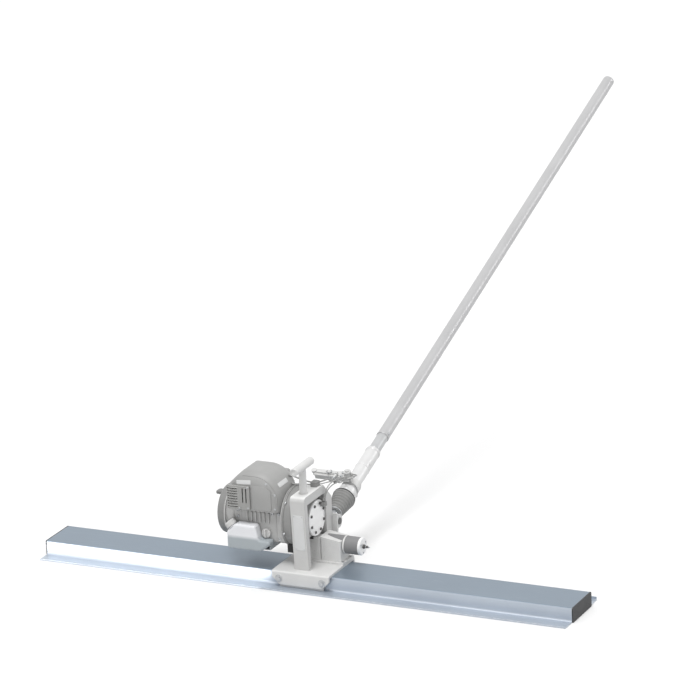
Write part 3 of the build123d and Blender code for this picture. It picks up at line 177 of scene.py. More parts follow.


def finish(name, colour, tone=10, rough=0.5, rough_spread=0.08, metal=0.0, cloud=40.0, grain=900.0,
           bump=0.3, depth=0.0001, stretch=(1, 1, 1), edge=None, speck=None,
           top=None, top_shading_cut=None, top_shading_from=None, scratch=0.0, below=None):
    """A painted, cast, moulded or drawn surface.

    Clouds and a fine grain, which may be stretched, change the colour by tone and the roughness by
    rough_spread. edge is the colour of worn edges, and speck that of specks. top is a colour painted on faces
    that look up, which the cut says how upright and which starts above a height: painted light where it is
    lighter, and painted reflection where it is darker. below is (full, none, colour): painted shade, which
    is full under one height and gone above the other.
    """
    g = Graph(name)
    space = g.mapped((1, 1, 1))
    clouds = g.noise(space, cloud, 5.0)
    fine = g.noise(g.mapped(stretch), grain, 3.0, 0.6)
    shade = g.spread(g.blend(clouds, fine, 0.7), 0.32, 0.68)
    base = g.mix(shade, *around(colour, tone))
    # Painted light or shade on faces that look up: lighter tops are painted light, darker ones painted
    # reflection.
    if top is not None:
        top_shading_mask = g.upward(*top_shading_cut)
        if top_shading_from is not None:
            top_shading_mask = g.maths("MULTIPLY", top_shading_mask, g.spread(g.height(space), top_shading_from, top_shading_from + TOP_SHADING_FADE))
        base = g.mix(top_shading_mask, base, g.mix(shade, *around(top, tone)))
    # Painted shade: a darker colour under one height, which fades out above another.
    if below is not None:
        full, none, lower_shade_colour = below
        level = g.maths("ADD", g.height(space), g.maths("MULTIPLY", clouds, LEVEL_RAGGED))
        base = g.mix(g.spread(level, full, none, 1.0, 0.0), base, srgb(*lower_shade_colour))
    if speck is not None:
        dots = g.spread(g.noise(space, SPECK_SCALE, 2.0), SPECK_CUT, SPECK_CUT + 0.05)
        base = g.mix(g.maths("MULTIPLY", dots, SPECK_SHARE), base, srgb(*speck))
    if scratch:
        sets = []
        for angle, seed in SCRATCHES:
            drawn = g.mapped(SCRATCH_STRETCH, (seed * 0.05, angle * 0.4, angle))
            sets.append(g.spread(g.noise(drawn, 1.0 + seed * 0.01, 2.0, 0.4), 0.70, 0.76))
        lines = g.maths("MULTIPLY", g.maths("MAXIMUM", *sets), scratch)
        base = g.mix(lines, base, srgb(*[min(255, c + SCRATCH_LIFT) for c in colour]))
    if edge is not None:
        worn = g.maths("MULTIPLY", g.edges(EDGE_WIDTH), g.spread(g.noise(space, 90.0), 0.38, 0.62))
        base = g.mix(g.maths("MULTIPLY", worn, EDGE_SHARE), base, srgb(*edge))
    g.link(base, g.shader.inputs["Base Color"])
    gloss = g.spread(g.blend(clouds, fine, 0.5), 0.3, 0.7, max(0.03, rough - rough_spread),
                     min(1.0, rough + rough_spread))
    g.link(gloss, g.shader.inputs["Roughness"])
    g.shader.inputs["Metallic"].default_value = metal
    relief = g.add("ShaderNodeBump")
    relief.inputs["Strength"].default_value = bump
    relief.inputs["Distance"].default_value = depth
    g.link(fine, relief.inputs["Height"])
    rounding = g.add("ShaderNodeBevel", samples=6)
    rounding.inputs["Radius"].default_value = ROUND_EDGE
    g.link(rounding.outputs[0], relief.inputs["Normal"])
    g.link(relief.outputs[0], g.shader.inputs["Normal"])
    MATERIALS[name] = g.material


# ------------------------------------------------------------------ finishes
FINISHES = {
    # blade_metal's darker top colour is painted reflection: it stands in for the dark that the blade's metal
    # top reflects.
    "blade_metal": dict(colour=(184, 192, 202), tone=8, rough=0.36, rough_spread=0.07, metal=0.55, cloud=5.0,
        bump=0.22, depth=0.00012, stretch=(0.02, 1, 1), edge=(250, 251, 252), top=(131, 144, 157),
        top_shading_cut=(0.3, 0.8), scratch=0.12, top_shading_from=0.024),
    "cap_plastic": dict(colour=(44, 45, 47), rough=0.55, rough_spread=0.1, cloud=30.0, grain=1500.0,
        edge=(80, 81, 83)),
    "light_paint": dict(colour=(206, 206, 205), tone=8, rough=0.45, cloud=16.0, grain=1100.0, depth=0.00012,
        edge=(168, 168, 167), scratch=0.1),
    # frame_paint's lighter top colour is painted light on the frame's upward faces.
    "frame_paint": dict(colour=(193, 193, 192), tone=8, rough=0.44, cloud=14.0, grain=950.0, depth=0.00014,
        edge=(165, 165, 164), top=(228, 228, 227), top_shading_cut=(0.6, 0.95), scratch=0.12),
    "zinc": dict(colour=(186, 188, 190), tone=22, rough=0.34, rough_spread=0.12, metal=0.75, cloud=60.0,
        grain=1600.0, bump=0.25, edge=(226, 227, 228)),
    "cover_metal": dict(colour=(236, 236, 236), tone=9, rough=0.38, rough_spread=0.1, metal=0.25, cloud=22.0,
        grain=1300.0, bump=0.25, edge=(236, 236, 236)),
    "dark_steel": dict(colour=(92, 91, 90), tone=20, rough_spread=0.15, metal=0.5, cloud=25.0, grain=800.0,
        depth=0.0002, edge=(140, 139, 138)),
    "shaft_steel": dict(colour=(176, 178, 180), tone=12, rough=0.28, rough_spread=0.1, metal=0.9, cloud=30.0,
        grain=1200.0, bump=0.2, depth=0.00008, edge=(215, 216, 217)),
    "belt_rubber": dict(colour=(58, 58, 59), tone=12, rough=0.75, rough_spread=0.1, grain=1600.0, bump=0.4),
    "casting": dict(colour=(212, 212, 211), tone=14, rough=0.55, rough_spread=0.12, metal=0.15, cloud=18.0,
        grain=520.0, bump=0.55, depth=0.0003, edge=(214, 214, 213), speck=(150, 150, 149)),
    "exciter_paint": dict(colour=(126, 126, 127), rough=0.42, cloud=16.0, depth=0.00012, edge=(188, 188, 188),
        scratch=0.1),
    "engine_alloy": dict(colour=(178, 178, 177), tone=14, rough=0.52, rough_spread=0.12, metal=0.2, cloud=20.0,
        grain=480.0, bump=0.55, depth=0.0003, edge=(200, 199, 195), speck=(140, 139, 136)),
    "engine_plastic": dict(colour=(153, 153, 152), tone=12, rough=0.46, cloud=12.0, grain=1300.0, bump=0.35,
        depth=0.00012, edge=(196, 196, 192)),
    "bell_metal": dict(colour=(140, 140, 139), tone=12, rough_spread=0.12, metal=0.2, cloud=18.0, grain=520.0,
        bump=0.5, depth=0.0003, edge=(190, 190, 188)),
    "black_rubber": dict(colour=(34, 34, 35), rough=0.7, rough_spread=0.1, bump=0.4, depth=0.00015,
        edge=(66, 66, 67)),
    "guard_metal": dict(colour=(150, 150, 148), tone=12, rough=0.42, rough_spread=0.1, metal=0.3, cloud=20.0,
        bump=0.25, depth=0.00012, edge=(206, 206, 204)),
    # tank_plastic's darker colour under 0.146 m, which fades out by 0.158 m, is painted shade.
    "tank_plastic": dict(colour=(222, 223, 226), tone=8, rough=0.42, cloud=10.0, grain=1200.0, depth=0.00012,
        edge=(236, 236, 237), below=(0.146, 0.158, (160, 167, 171))),
    "boot_rubber": dict(colour=(140, 140, 139), rough=0.6, rough_spread=0.1, cloud=26.0, grain=1100.0, bump=0.4,
        depth=0.00014),
    "sleeve_metal": dict(colour=(214, 214, 214), tone=9, rough=0.36, metal=0.3, cloud=18.0, bump=0.22,
        edge=(228, 228, 228), scratch=0.12),
    "coupler_metal": dict(colour=(186, 187, 188), rough=0.34, metal=0.4, cloud=18.0, bump=0.22,
        edge=(214, 214, 214), scratch=0.1),
    "pole_metal": dict(colour=(185, 185, 186), tone=8, rough=0.34, metal=0.35, cloud=7.0, bump=0.2,
        stretch=(1, 0.03, 0.05), edge=(226, 226, 226), scratch=0.14),
    "control_metal": dict(colour=(206, 206, 205), tone=12, rough=0.44, rough_spread=0.1, metal=0.2, cloud=26.0,
        depth=0.00012, edge=(212, 212, 211)),
    "button_plastic": dict(colour=(196, 196, 195), rough=0.4, grain=1500.0, bump=0.25, edge=(222, 222, 221)),
    "cable_skin": dict(colour=(146, 146, 145), cloud=60.0, grain=1800.0, depth=0.00008),
    "clip_rubber": dict(colour=(132, 132, 131), tone=12, rough=0.6, rough_spread=0.1, cloud=50.0, grain=1400.0,
        bump=0.35, depth=0.00012),
    "grip_plastic": dict(colour=(118, 118, 117), rough=0.45, cloud=30.0, grain=1400.0, edge=(170, 170, 169)),
    "recoil_plastic": dict(colour=(128, 128, 127), tone=12, rough=0.46, cloud=12.0, grain=1300.0, bump=0.35,
        depth=0.00012, edge=(186, 186, 184)),
    "bush_plastic": dict(colour=(215, 213, 208), tone=8, grain=1400.0, bump=0.25),
    "plate_metal": dict(colour=(206, 207, 207), tone=6, rough=0.35, rough_spread=0.06, metal=0.2, cloud=20.0,
        grain=1300.0, bump=0.2, depth=0.00008, edge=(200, 200, 200)),
    "weld_metal": dict(colour=(196, 196, 195), rough=0.45, rough_spread=0.1, metal=0.05, grain=700.0, bump=0.5,
        depth=0.0003),
}
for finish_name, look in FINISHES.items():
    finish(finish_name, **look)

OWN_FINISH = {"cable_clips": "clip_rubber", "starter_grip": "grip_plastic", "recoil_cover": "recoil_plastic"}
SLOT_OF = {entry["node"]: entry["material_slot"] for entry in RECORD["subparts"]}
for node_name, node in NODES.items():
    node.data.materials.clear()
    node.data.materials.append(MATERIALS[OWN_FINISH.get(node_name, SLOT_OF[node_name])])


# ------------------------------------------------------------------ places
def low(node):
    """The lowest corner of a CAD node, in mm."""
    return Vector(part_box(node)[0]) / MM


def high(node):
    """The highest corner of a CAD node, in mm."""
    return Vector(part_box(node)[1]) / MM


def joint(name):
    """A joint of the record."""
    return next(j for j in RECORD["behaviour"]["joints"] if j["name"] == name)


def joint_at(name):
    """A joint's place, in mm."""
    return Vector(joint(name)["pos_m"]) / MM


def axes(origin, along, up=(0, 0, 1)):
    """A matrix in mm whose Z runs along a direction, and whose Y leans to up."""
    z = Vector(along).normalized()
    x = Vector(up).cross(z)
    x = x.normalized() if x.length > 1e-6 else Vector((1, 0, 0))
    y = z.cross(x)
    matrix = Matrix((x, y, z)).transposed().to_4x4()
    matrix.translation = Vector(origin)
    return matrix


def round_places(x, centre, radius, count, start, way):
    """Places on a circle about an axis along X, from start degrees on, which look along X or against it."""
    places = []
    for a in (math.radians(start + 360 * k / count) for k in range(count)):
        places.append(axes((x, centre.y + radius * math.cos(a), centre.z + radius * math.sin(a)), (way, 0, 0)))
    return places


FRONT = axes((0, -200, 0), (0, -1, 0))              # its x is world X, its y world Z, and it looks to the front
BACK = axes((0, 300, 0), (0, 1, 0))                 # its x is world -X, and it looks to the back


# ------------------------------------------------------------------ meshes
def in_scene(name, data):
    """A new object of the scene."""
    obj = bpy.data.objects.new(name, data)
    bpy.context.scene.collection.objects.link(obj)
    return obj


def piece(name, verts, faces, slot, body, matrix=Matrix.Identity(4), replaces=(), sharp=35.0, look=None):
    """Adds a mesh piece from points in mm, which rides on a body. look is its finish, if not the slot's own."""
    mesh = bpy.data.meshes.new(name)
    mesh.from_pydata([(matrix @ Vector(v)) * MM for v in verts], [], faces)
    mesh.validate()
    mesh.update()
    obj = in_scene(name, mesh)
    mesh.materials.append(MATERIALS[look or slot])
    mesh.shade_smooth()
    mesh.set_sharp_from_angle(angle=math.radians(sharp))
    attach(obj, body)
    if replaces:
        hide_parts(*replaces)


def ring_faces(rows, n, closed=False):
    """Quads between rows of n points, wound to look out, with the ends capped or closed to a ring."""
    faces = []
    for i in range(rows if closed else rows - 1):
        a, b = i * n, (i + 1) % rows * n
        faces += [(a + j, a + (j + 1) % n, b + (j + 1) % n, b + j) for j in range(n)]
    if not closed:
        faces.append(tuple(reversed(range(n))))
        faces.append(tuple((rows - 1) * n + j for j in range(n)))
    return faces


def joined(parts):
    """The verts and faces of several parts as those of one mesh."""
    verts, faces = [], []
    for part_verts, part_faces in parts:
        faces += [tuple(i + len(verts) for i in face) for face in part_faces]
        verts += part_verts
    return verts, faces


def grooves(count, depth, rows, power=2):
    """A ripple for turned: count grooves round the named rows, as deep as a share of the radius."""
    def ripple(a, i):
        return 1 - depth * (0.5 - 0.5 * math.cos(count * a)) ** power if i in rows else 1.0
    return ripple


def turned(name, profile, slot, body, matrix, n=64, ripple=None, closed=False, **extra):
    """A lathe piece: profile is (radius, height) pairs, and ripple(angle, i) scales a row's radius."""
    verts = []
    for i, (r, h) in enumerate(profile):
        for a in (2 * math.pi * j / n for j in range(n)):
            k = r * (ripple(a, i) if ripple else 1.0)
            verts.append((k * math.cos(a), k * math.sin(a), h))
    piece(name, verts, ring_faces(len(profile), n, closed), slot, body, matrix, **extra)


def round_section(radius, n):
    """A circle of n points."""
    return [(radius * math.cos(2 * math.pi * j / n), radius * math.sin(2 * math.pi * j / n)) for j in range(n)]


def swept(points, section, closed=False):
    """Verts and faces of a section, (across, up) pairs or a call giving them, swept along points in mm."""
    points = [Vector(p) for p in points]
    n = len(points)
    sections = [section(i) if callable(section) else section for i in range(n)]
    verts = []
    normal = None
    for i, p in enumerate(points):
        a = points[(i - 1) % n] if closed or i else p
        b = points[(i + 1) % n] if closed or i < n - 1 else p
        t = (b - a).normalized()
        if normal is None:
            normal = t.orthogonal().normalized()
        normal = (normal - t * normal.dot(t)).normalized()
        side = t.cross(normal)
        verts += [p + normal * u + side * v for u, v in sections[i]]
    return verts, ring_faces(n, len(sections[0]), closed)


def strip(name, points, slot, body, radius, n=8, closed=False, sharp=80.0):
    """A round strip or wire along points in mm."""
    verts, faces = swept(points, round_section(radius, n), closed)
    piece(name, verts, faces, slot, body, sharp=sharp)


def resample(points, step, closed=False):
    """Evenly spaced points along a run of straight lines."""
    points = [Vector(p) for p in points]
    if closed:
        points = points + [points[0]]
    out = []
    for a, b in zip(points, points[1:]):
        count = max(1, round((b - a).length / step))
        out += [a.lerp(b, i / count) for i in range(count)]
    return out if closed else out + [points[-1]]


BEAD_STEP, BEAD_PITCH, BEAD_RIPPLE = 0.65, 2.6, 0.12


def bead(name, points, radius, closed=False):
    """A weld bead: a rounded run with the ripples of its pools, which thins out at open ends."""
    path = resample(points, BEAD_STEP, closed)
    def section(i):
        k = radius * (1 - BEAD_RIPPLE * abs(math.sin(math.pi * i * BEAD_STEP / BEAD_PITCH)))
        if not closed:
            k *= min(1.0, 0.35 + 0.3 * min(i, len(path) - 1 - i))
        return round_section(k, 10)
    verts, faces = swept(path, section, closed)
    piece(name, verts, faces, "light_paint", "root", sharp=80.0, look="weld_metal")


def rounded(points, radius, steps=6):
    """A closed polygon of 2-D points with its corners rounded."""
    out = []
    n = len(points)
    for i, p in enumerate(points):
        p = Vector(p)
        a, b = Vector(points[i - 1]) - p, Vector(points[(i + 1) % n]) - p
        reach = min(radius, a.length * 0.49, b.length * 0.49)
        a, b = p + a.normalized() * reach, p + b.normalized() * reach
        for t in (k / steps for k in range(steps + 1)):
            out.append((a.lerp(p, t)).lerp(p.lerp(b, t), t))
    return out


def rectangle(w, h, r, at=(0, 0), angle=0.0):
    """A rounded rectangle's outline, with a point at least every few mm along its sides."""
    ring = rounded([(-w / 2, -h / 2), (w / 2, -h / 2), (w / 2, h / 2), (-w / 2, h / 2)], r, 5)
    dense = []
    for a, b in zip(ring, ring[1:] + ring[:1]):
        count = max(1, int((b - a).length / 2))
        dense += [a.lerp(b, i / count) for i in range(count)]
    c, s = math.cos(angle), math.sin(angle)
    return [(at[0] + c * p.x - s * p.y, at[1] + s * p.x + c * p.y) for p in dense]


def middle(outline):
    """The mean point of an outline."""
    return sum((Vector(p) for p in outline), Vector((0, 0))) / len(outline)


def pad(name, outline, slot, matrix, thick, edge, base, **extra):
    """A flat piece with a rounded rim: a closed outline raised from base by thick."""
    centre = middle(outline)
    size = sum((Vector(p) - centre).length for p in outline) / len(outline)
    rows = [(0.0, base), (0.0, base + thick - edge)]
    rows += [(edge * (1 - math.cos(a)), base + thick - edge + edge * math.sin(a))
             for a in (math.pi / 6, math.pi / 3, math.pi / 2)]
    verts = []
    for inset, h in rows:
        for p in outline:
            q = centre + (Vector(p) - centre) * (1 - inset / size)
            verts.append((q.x, q.y, h))
    piece(name, verts, ring_faces(len(rows), len(outline)), slot, "root", matrix, **extra)


# ------------------------------------------------------------------ screw heads
def hexagon(a, size):
    """The radius of a hexagon recess at an angle."""
    return size / math.cos((a + math.pi / 6) % (math.pi / 3) - math.pi / 6)


def cross(a, size):
    """The radius of a cross recess at an angle."""
    a = (a + math.pi / 4) % (math.pi / 2) - math.pi / 4
    return size * 0.32 / abs(math.sin(a)) if abs(a) > 0.3 else size * 1.25


HEAD_RIM = ((1.0, 0.0), (1.0, 0.55), (0.97, 0.78), (0.88, 0.94), (0.72, 1.0))     # shares of radius and height
HEAD_POINTS = 48


def cap_screws(name, places, body, r, h, socket, hole=hexagon):
    """Zinc heads with a rounded rim and a recess as wide as socket, one mesh for a set of places."""
    angles = [2 * math.pi * j / HEAD_POINTS for j in range(HEAD_POINTS)]
    rows = [([r * share] * HEAD_POINTS, h * rise) for share, rise in HEAD_RIM]
    rows += [([hole(a, socket) for a in angles], h * rise) for rise in (1.0, 0.35)]
    head = [Vector((k * math.cos(a), k * math.sin(a), z)) for radii, z in rows for k, a in zip(radii, angles)]
    faces = ring_faces(len(rows), HEAD_POINTS)
    verts, faces = joined([([matrix @ v for v in head], faces) for matrix in places])
    piece(name, verts, faces, "zinc", body, sharp=40.0)


# ------------------------------------------------------------------ pieces that lie on a CAD surface
TREES = {}
LABEL_THICK, LABEL_EDGE, LABEL_SINK = 0.7, 0.5, 0.25


def touch(node, start, way):
    """Where a line from start, in mm, meets a CAD node, and the surface's normal there."""
    if node not in TREES:
        mesh = NODES[node].data
        corners = [v.co / MM for v in mesh.vertices]
        TREES[node] = BVHTree.FromPolygons(corners, [tuple(p.vertices) for p in mesh.polygons])
    place, normal, _, _ = TREES[node].ray_cast(Vector(start), Vector(way).normalized())
    if place is None:
        raise ValueError(f"the line from {tuple(start)} misses {node}")
    return place, normal


def dropped(node, view, u, v):
    """Where a point of a view's plane meets a CAD node, looking against the view's Z, and the normal there."""
    return touch(node, view @ Vector((u, v, 0)), -(view.to_3x3() @ Vector((0, 0, 1))))


def laid(name, node, outline, view):
    """A blank metal label that follows a CAD node's surface: its outline is dropped from a view's plane."""
    centre = middle(outline)
    rows = [(1.0, -LABEL_SINK), (1.0, LABEL_THICK - LABEL_EDGE),
            (1 - 0.3 * LABEL_EDGE / 10, LABEL_THICK - LABEL_EDGE * 0.3), (1 - LABEL_EDGE / 10, LABEL_THICK)]
    rows += [(share, LABEL_THICK) for share in (0.75, 0.5, 0.25, 0.04)]
    verts = []
    for share, lift in rows:
        for p in outline:
            q = centre + (Vector(p) - centre) * share
            place, normal = dropped(node, view, q.x, q.y)
            verts.append(place + normal * lift)
    piece(name, verts, ring_faces(len(rows), len(outline)), "cover_metal", "root", look="plate_metal")


def heads(name, node, spots, view, r, h, socket, hole=hexagon):
    """Screw heads seated on a CAD node at spots of a view's plane."""
    places = []
    for u, v in spots:
        place, normal = dropped(node, view, u, v)
        places.append(axes(place - normal * 0.2, normal))
    cap_screws(name, places, "root", r, h, socket, hole)


# ------------------------------------------------------------------ the pole's own frame, and its boot
PIVOT_AT = joint_at("pole_tilt")
POLE_DIR = Vector(joint("pole_twist")["axis"]).normalized()
POLE_UP = Vector((0, -POLE_DIR.z, POLE_DIR.y))
POLE = Matrix((Vector((-1, 0, 0)), POLE_UP, POLE_DIR)).transposed().to_4x4()
POLE.translation = PIVOT_AT
BOOT_START, BOOT_END, BOOT_FOLDS, FOLD_STEPS = 40.0, 115.0, 7, 14
BOOT_R, BOOT_WIDENS, FOLD_DEPTH, BOOT_WALL = 22.2, 13.6, 3.4, 1.9


def boot_profile():
    """Soft folds that widen towards the collar, outside then inside."""
    rows = []
    steps = BOOT_FOLDS * FOLD_STEPS
    for f in (i / steps for i in range(steps + 1)):
        crest = (0.5 - 0.5 * math.cos(2 * math.pi * (f * BOOT_FOLDS % 1.0))) ** 0.62
        rows.append((BOOT_R + BOOT_WIDENS * f + FOLD_DEPTH * crest, BOOT_START + (BOOT_END - BOOT_START) * f))
    return rows + [(r - BOOT_WALL, h) for r, h in reversed(rows)]


turned("boot_folds", boot_profile(), "boot_rubber", "tilt_unit", POLE, n=96, closed=True, replaces=("boot",),
       sharp=80)

# ------------------------------------------------------------------ cables
# The control points lie in mm, from the engine or the switch to the other end.
THROTTLE_ROUTE = [
    (-82.9, 36, 330), (-56, 38, 323), (-26, 41, 313), (4, 50, 308), (18, 82, 307),
    (12, 118, 299), (-2, 154, 283), (-18, 194, 263), (-33, 233, 248), (-33, 268.3, 257.8),
]
STOP_ROUTE = [
    (-69.9, 28, 304), (-46, 29, 306.5), (-19, 31, 307), (8, 38, 306), (26, 60, 306),
    (30, 94, 300), (26, 134, 289), (16, 174, 273), (4, 212, 252), (2, 242, 246), (2, 268.9, 256),
]
EARTH_ROUTE = [
    (14.6, 280.7, 260.1), (32, 280, 261), (46, 260, 266), (52, 226, 276), (51, 186, 288),
    (46, 146, 298), (41, 106, 302), (36, 72, 298), (30, 56, 276), (26, 50, 250),
]
LIVE_ROUTE = [
    (14.6, 276.9, 258.8), (28, 272, 259), (40, 252, 262), (45, 218, 270), (44, 178, 280),
    (40, 138, 287), (35, 100, 288), (31, 74, 280), (27, 62, 263), (25, 58, 246),
]
BEND_FROM, BEND_TO = (0, 100, 300), (0, 255, 256)   # mm; held_cable turns them into metres, and nothing else uses them


def cable_mesh(name, route, radius):
    """A round cable on a smooth NURBS line through the route's control points, as a mesh."""
    curve = bpy.data.curves.new(name, "CURVE")
    curve.dimensions = "3D"
    spline = curve.splines.new("NURBS")
    spline.points.add(len(route) - 1)
    for point, place in zip(spline.points, route):
        point.co = (place[0] * MM, place[1] * MM, place[2] * MM, 1.0)
    spline.order_u = 3
    spline.use_endpoint_u = True
    spline.resolution_u = 16
    curve.bevel_depth = radius * MM
    curve.bevel_resolution = 6
    curve.use_fill_caps = True
    holder = in_scene(name + "_line", curve)
    mesh = bpy.data.meshes.new_from_object(holder)
    bpy.data.objects.remove(holder)
    mesh.name = name
    mesh.materials.clear()
    mesh.materials.append(MATERIALS["cable_skin"])
    mesh.shade_smooth()
    return mesh


def held_cable(name, route, radius, node):
    """A cable from the engine or frame at one end to the pole's controls at the other, in place of a CAD node
    that it hides.
    """
    cable = in_scene(name, cable_mesh(name, route, radius))
    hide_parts(node)
    start, end = (tuple(c * MM for c in point) for point in (BEND_FROM, BEND_TO))
    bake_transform(cable)
    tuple(start)
    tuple(end)


held_cable("throttle_cable_skin", THROTTLE_ROUTE, 2.5, "throttle_cable")
held_cable("kill_wire_skin", STOP_ROUTE, 1.8, "stop_wires")
held_cable("earth_wire_skin", EARTH_ROUTE, 1.8, "stop_wires")
held_cable("live_wire_skin", LIVE_ROUTE, 1.8, "stop_wires")

# ------------------------------------------------------------------ welds of the head frame
frame_low, frame_high = low("head_frame"), high("head_frame")
POST_X, POST_Y, POST_R = -2.0, -31.0, 12.0          # the handle's post
FOOT_WELDS = {"front": (-65.0, -49.0), "rear": (54.0, 92.0)}                      # where they run along Y

post_foot = [(POST_X + x, POST_Y + y, frame_high.z + 0.6) for x, y in round_section(POST_R + 1.0, 72)]
bead("post_weld", post_foot, radius=2.4, closed=True)
for tag, ends in FOOT_WELDS.items():
    for side, x in (("left", frame_low.x - 0.4), ("right", frame_high.x + 0.4)):
        bead(f"{tag}_foot_weld_{side}", [(x, y, frame_low.z + 0.8) for y in ends], radius=2.8)

# ------------------------------------------------------------------ engine cover
cover_low, cover_high = low("top_cover"), high("top_cover")
ROUND, RIM = 86.0, 36.0                             # radii of the cover's right shoulder and of its rim
SEAM_ANGLE = math.radians(48)                       # how far round the rim the seam lies


def cover_line(inset):
    """The cover's top and right outline in (x, z), moved in by inset."""
    cx, cz = cover_high.x - ROUND, cover_high.z - ROUND
    r = ROUND - inset
    run = [(cover_low.x + 46, cz + r)]
    run += [(cx + r * math.sin(a), cz + r * math.cos(a)) for a in (math.radians(6 * i) for i in range(16))]
    return run + [(cx + r, cover_low.z + 3)]


for side, tag in ((-1, "front"), (1, "back")):
    y = side * (cover_high.y - RIM * (1 - math.sin(SEAM_ANGLE)))
    line = [(x, y, z) for x, z in cover_line(RIM * (1 - math.cos(SEAM_ANGLE)))]
    strip(f"cover_seam_{tag}", resample(line, 3.0), "engine_plastic", "root", radius=1.5, n=12)

panel_left, panel_right = cover_low.x + 76, cover_high.x - 28
panel_foot, panel_top = cover_low.z + 5, cover_high.z - RIM - 4
panel = rounded([(panel_left, panel_foot), (panel_right, panel_foot), (panel_right, cover_low.z + 72),
                 (panel_right - 20, panel_top), (panel_left, panel_top)], 7)
cover_face = axes((0, cover_low.y, 0), (0, -1, 0))
pad("cover_panel", panel, "engine_plastic", cover_face, thick=1.6, edge=1.2, base=-0.3)
laid("cover_plate_upper", "top_cover", rectangle(50, 14, 2.5, at=(-188, 330), angle=0.08), FRONT)
shoulder = axes((-38, -16, 348), (0.84, 0, 0.53), (-0.53, 0, 0.84))
laid("cover_plate_side", "top_cover", rectangle(60, 15, 2.0), shoulder)
COVER_SCREWS = [(-84, 296), (-112, 330), (-84, 250), (-232, 318)]
COVER_SCREWS_BACK = [(84, 250), (84, 300), (230, 250), (230, 306)]
heads("cover_screws_front", "top_cover", COVER_SCREWS, FRONT, r=3.6, h=2.2, socket=1.7, hole=cross)
heads("cover_screws_back", "top_cover", COVER_SCREWS_BACK, BACK, r=3.6, h=2.2, socket=1.7, hole=cross)

# ------------------------------------------------------------------ muffler guard
guard_low, guard_high = low("muffler_guard"), high("muffler_guard")
LOUVRES, LOUVRE_STEPS, LOUVRE_SWELL = 8, 10, 2.4
GUARD_RIM = 6.0                                     # the plain rim below and above the louvres
louvre_pitch = (guard_high.z - guard_low.z - 2 * GUARD_RIM) / LOUVRES


def louvre(z):
    """A pressed louvre: a lip that swells out of the guard between its two ends."""
    x0, x1, y = guard_low.x + 2.5, guard_low.x + 39, guard_low.y
    verts = []
    for k in range(LOUVRE_STEPS + 1):
        x = x0 + (x1 - x0) * k / LOUVRE_STEPS
        swell = LOUVRE_SWELL * min(1.0, 4 * min(k, LOUVRE_STEPS - k) / LOUVRE_STEPS) + 0.2
        lip = ((0.3, 3.6), (-swell * 0.6, 3.0), (-swell, 1.6), (0.7 - swell, 1.3), (-swell * 0.4, 2.3),
               (0.3, 2.8))
        verts += [(x, y + dy, z + dz) for dy, dz in lip]
    return verts, ring_faces(LOUVRE_STEPS + 1, len(lip))


verts, faces = joined([louvre(guard_low.z + GUARD_RIM + (i + 0.5) * louvre_pitch) for i in range(LOUVRES)])
piece("guard_louvres", verts, faces, "guard_metal", "root", sharp=50)
guard_spots = [(guard_high.x - 6, guard_low.z + 8), (guard_high.x - 6, guard_high.z - 4),
               (guard_high.x - 36, guard_low.z + 5)]
heads("guard_screws", "muffler_guard", guard_spots, FRONT, r=3.2, h=2.0, socket=1.5, hole=cross)

# ------------------------------------------------------------------ crankcase and bell
CASE_Y, CASE_Z = (-50, 85), (128, 238)              # the crankcase's box, without its round end
CASE_BOLTS = [(-226, 226), (-82, 226), (-82, 144), (-104, 226), (-226, 206)]
CASE_BOLTS_BACK = [(84, 226), (84, 144), (228, 226), (228, 144), (150, 144)]
heads("case_bolts", "crankcase", CASE_BOLTS, FRONT, r=5.0, h=3.6, socket=2.6)
heads("case_bolts_back", "crankcase", CASE_BOLTS_BACK, BACK, r=5.0, h=3.6, socket=2.6)
y0, y1, z0, z1 = CASE_Y[0] - 0.2, CASE_Y[1] + 0.2, CASE_Z[0] - 0.2, CASE_Z[1] + 0.2
seam_loop = rounded([(y0, z0), (y1, z0), (y1, z1), (y0, z1)], 14, 8)
for tag, x in (("left", -214.0), ("right", -92.0)):
    line = [(x, p.x, p.y) for p in seam_loop]
    strip(f"case_joint_{tag}", line, "engine_alloy", "root", radius=1.3, n=10, closed=True)

CRANK_AT = joint_at("crank_spin")
bell_low = low("clutch_housing")
BELL_R = (high("clutch_housing").y - bell_low.y) / 2
bell_at = axes((bell_low.x, CRANK_AT.y, CRANK_AT.z), (1, 0, 0))
bell_rows = [(BELL_R - 1, -0.2), (BELL_R + 2.2, 0), (BELL_R + 3.0, 1.2), (BELL_R + 3.0, 5),
             (BELL_R + 2.2, 6.2), (BELL_R - 1, 6.6)]
turned("bell_flange", bell_rows, "bell_metal", "root", bell_at, n=128, closed=True)
bell_bolts = round_places(bell_low.x + 5.5, CRANK_AT, radius=BELL_R + 1.5, count=6, start=18, way=1)
cap_screws("bell_bolts", bell_bolts, "root", r=4.6, h=4.5, socket=2.3)

# ------------------------------------------------------------------ starter side
recoil_low = low("recoil_cover")
recoil_face = axes((recoil_low.x, CRANK_AT.y, CRANK_AT.z), (-1, 0, 0))
RECOIL_RING = [(44, -0.6), (44, 0.5), (43.2, 1.3), (41.8, 1.3), (41, 0.5), (41, -0.6)]
RECOIL_HUB = [(16, -0.4), (16, 1.6), (14.5, 2.6), (6, 2.9), (5.2, 2.2), (0.4, 2.0)]
turned("recoil_ring", RECOIL_RING, "engine_plastic", "root", recoil_face, n=96, closed=True)
turned("recoil_hub", RECOIL_HUB, "engine_plastic", "root", recoil_face)
recoil_screws = round_places(recoil_low.x + 23.6, CRANK_AT, radius=76.2, count=4, start=45, way=-1)
cap_screws("recoil_screws", recoil_screws, "root", r=3.6, h=2.6, socket=1.8)

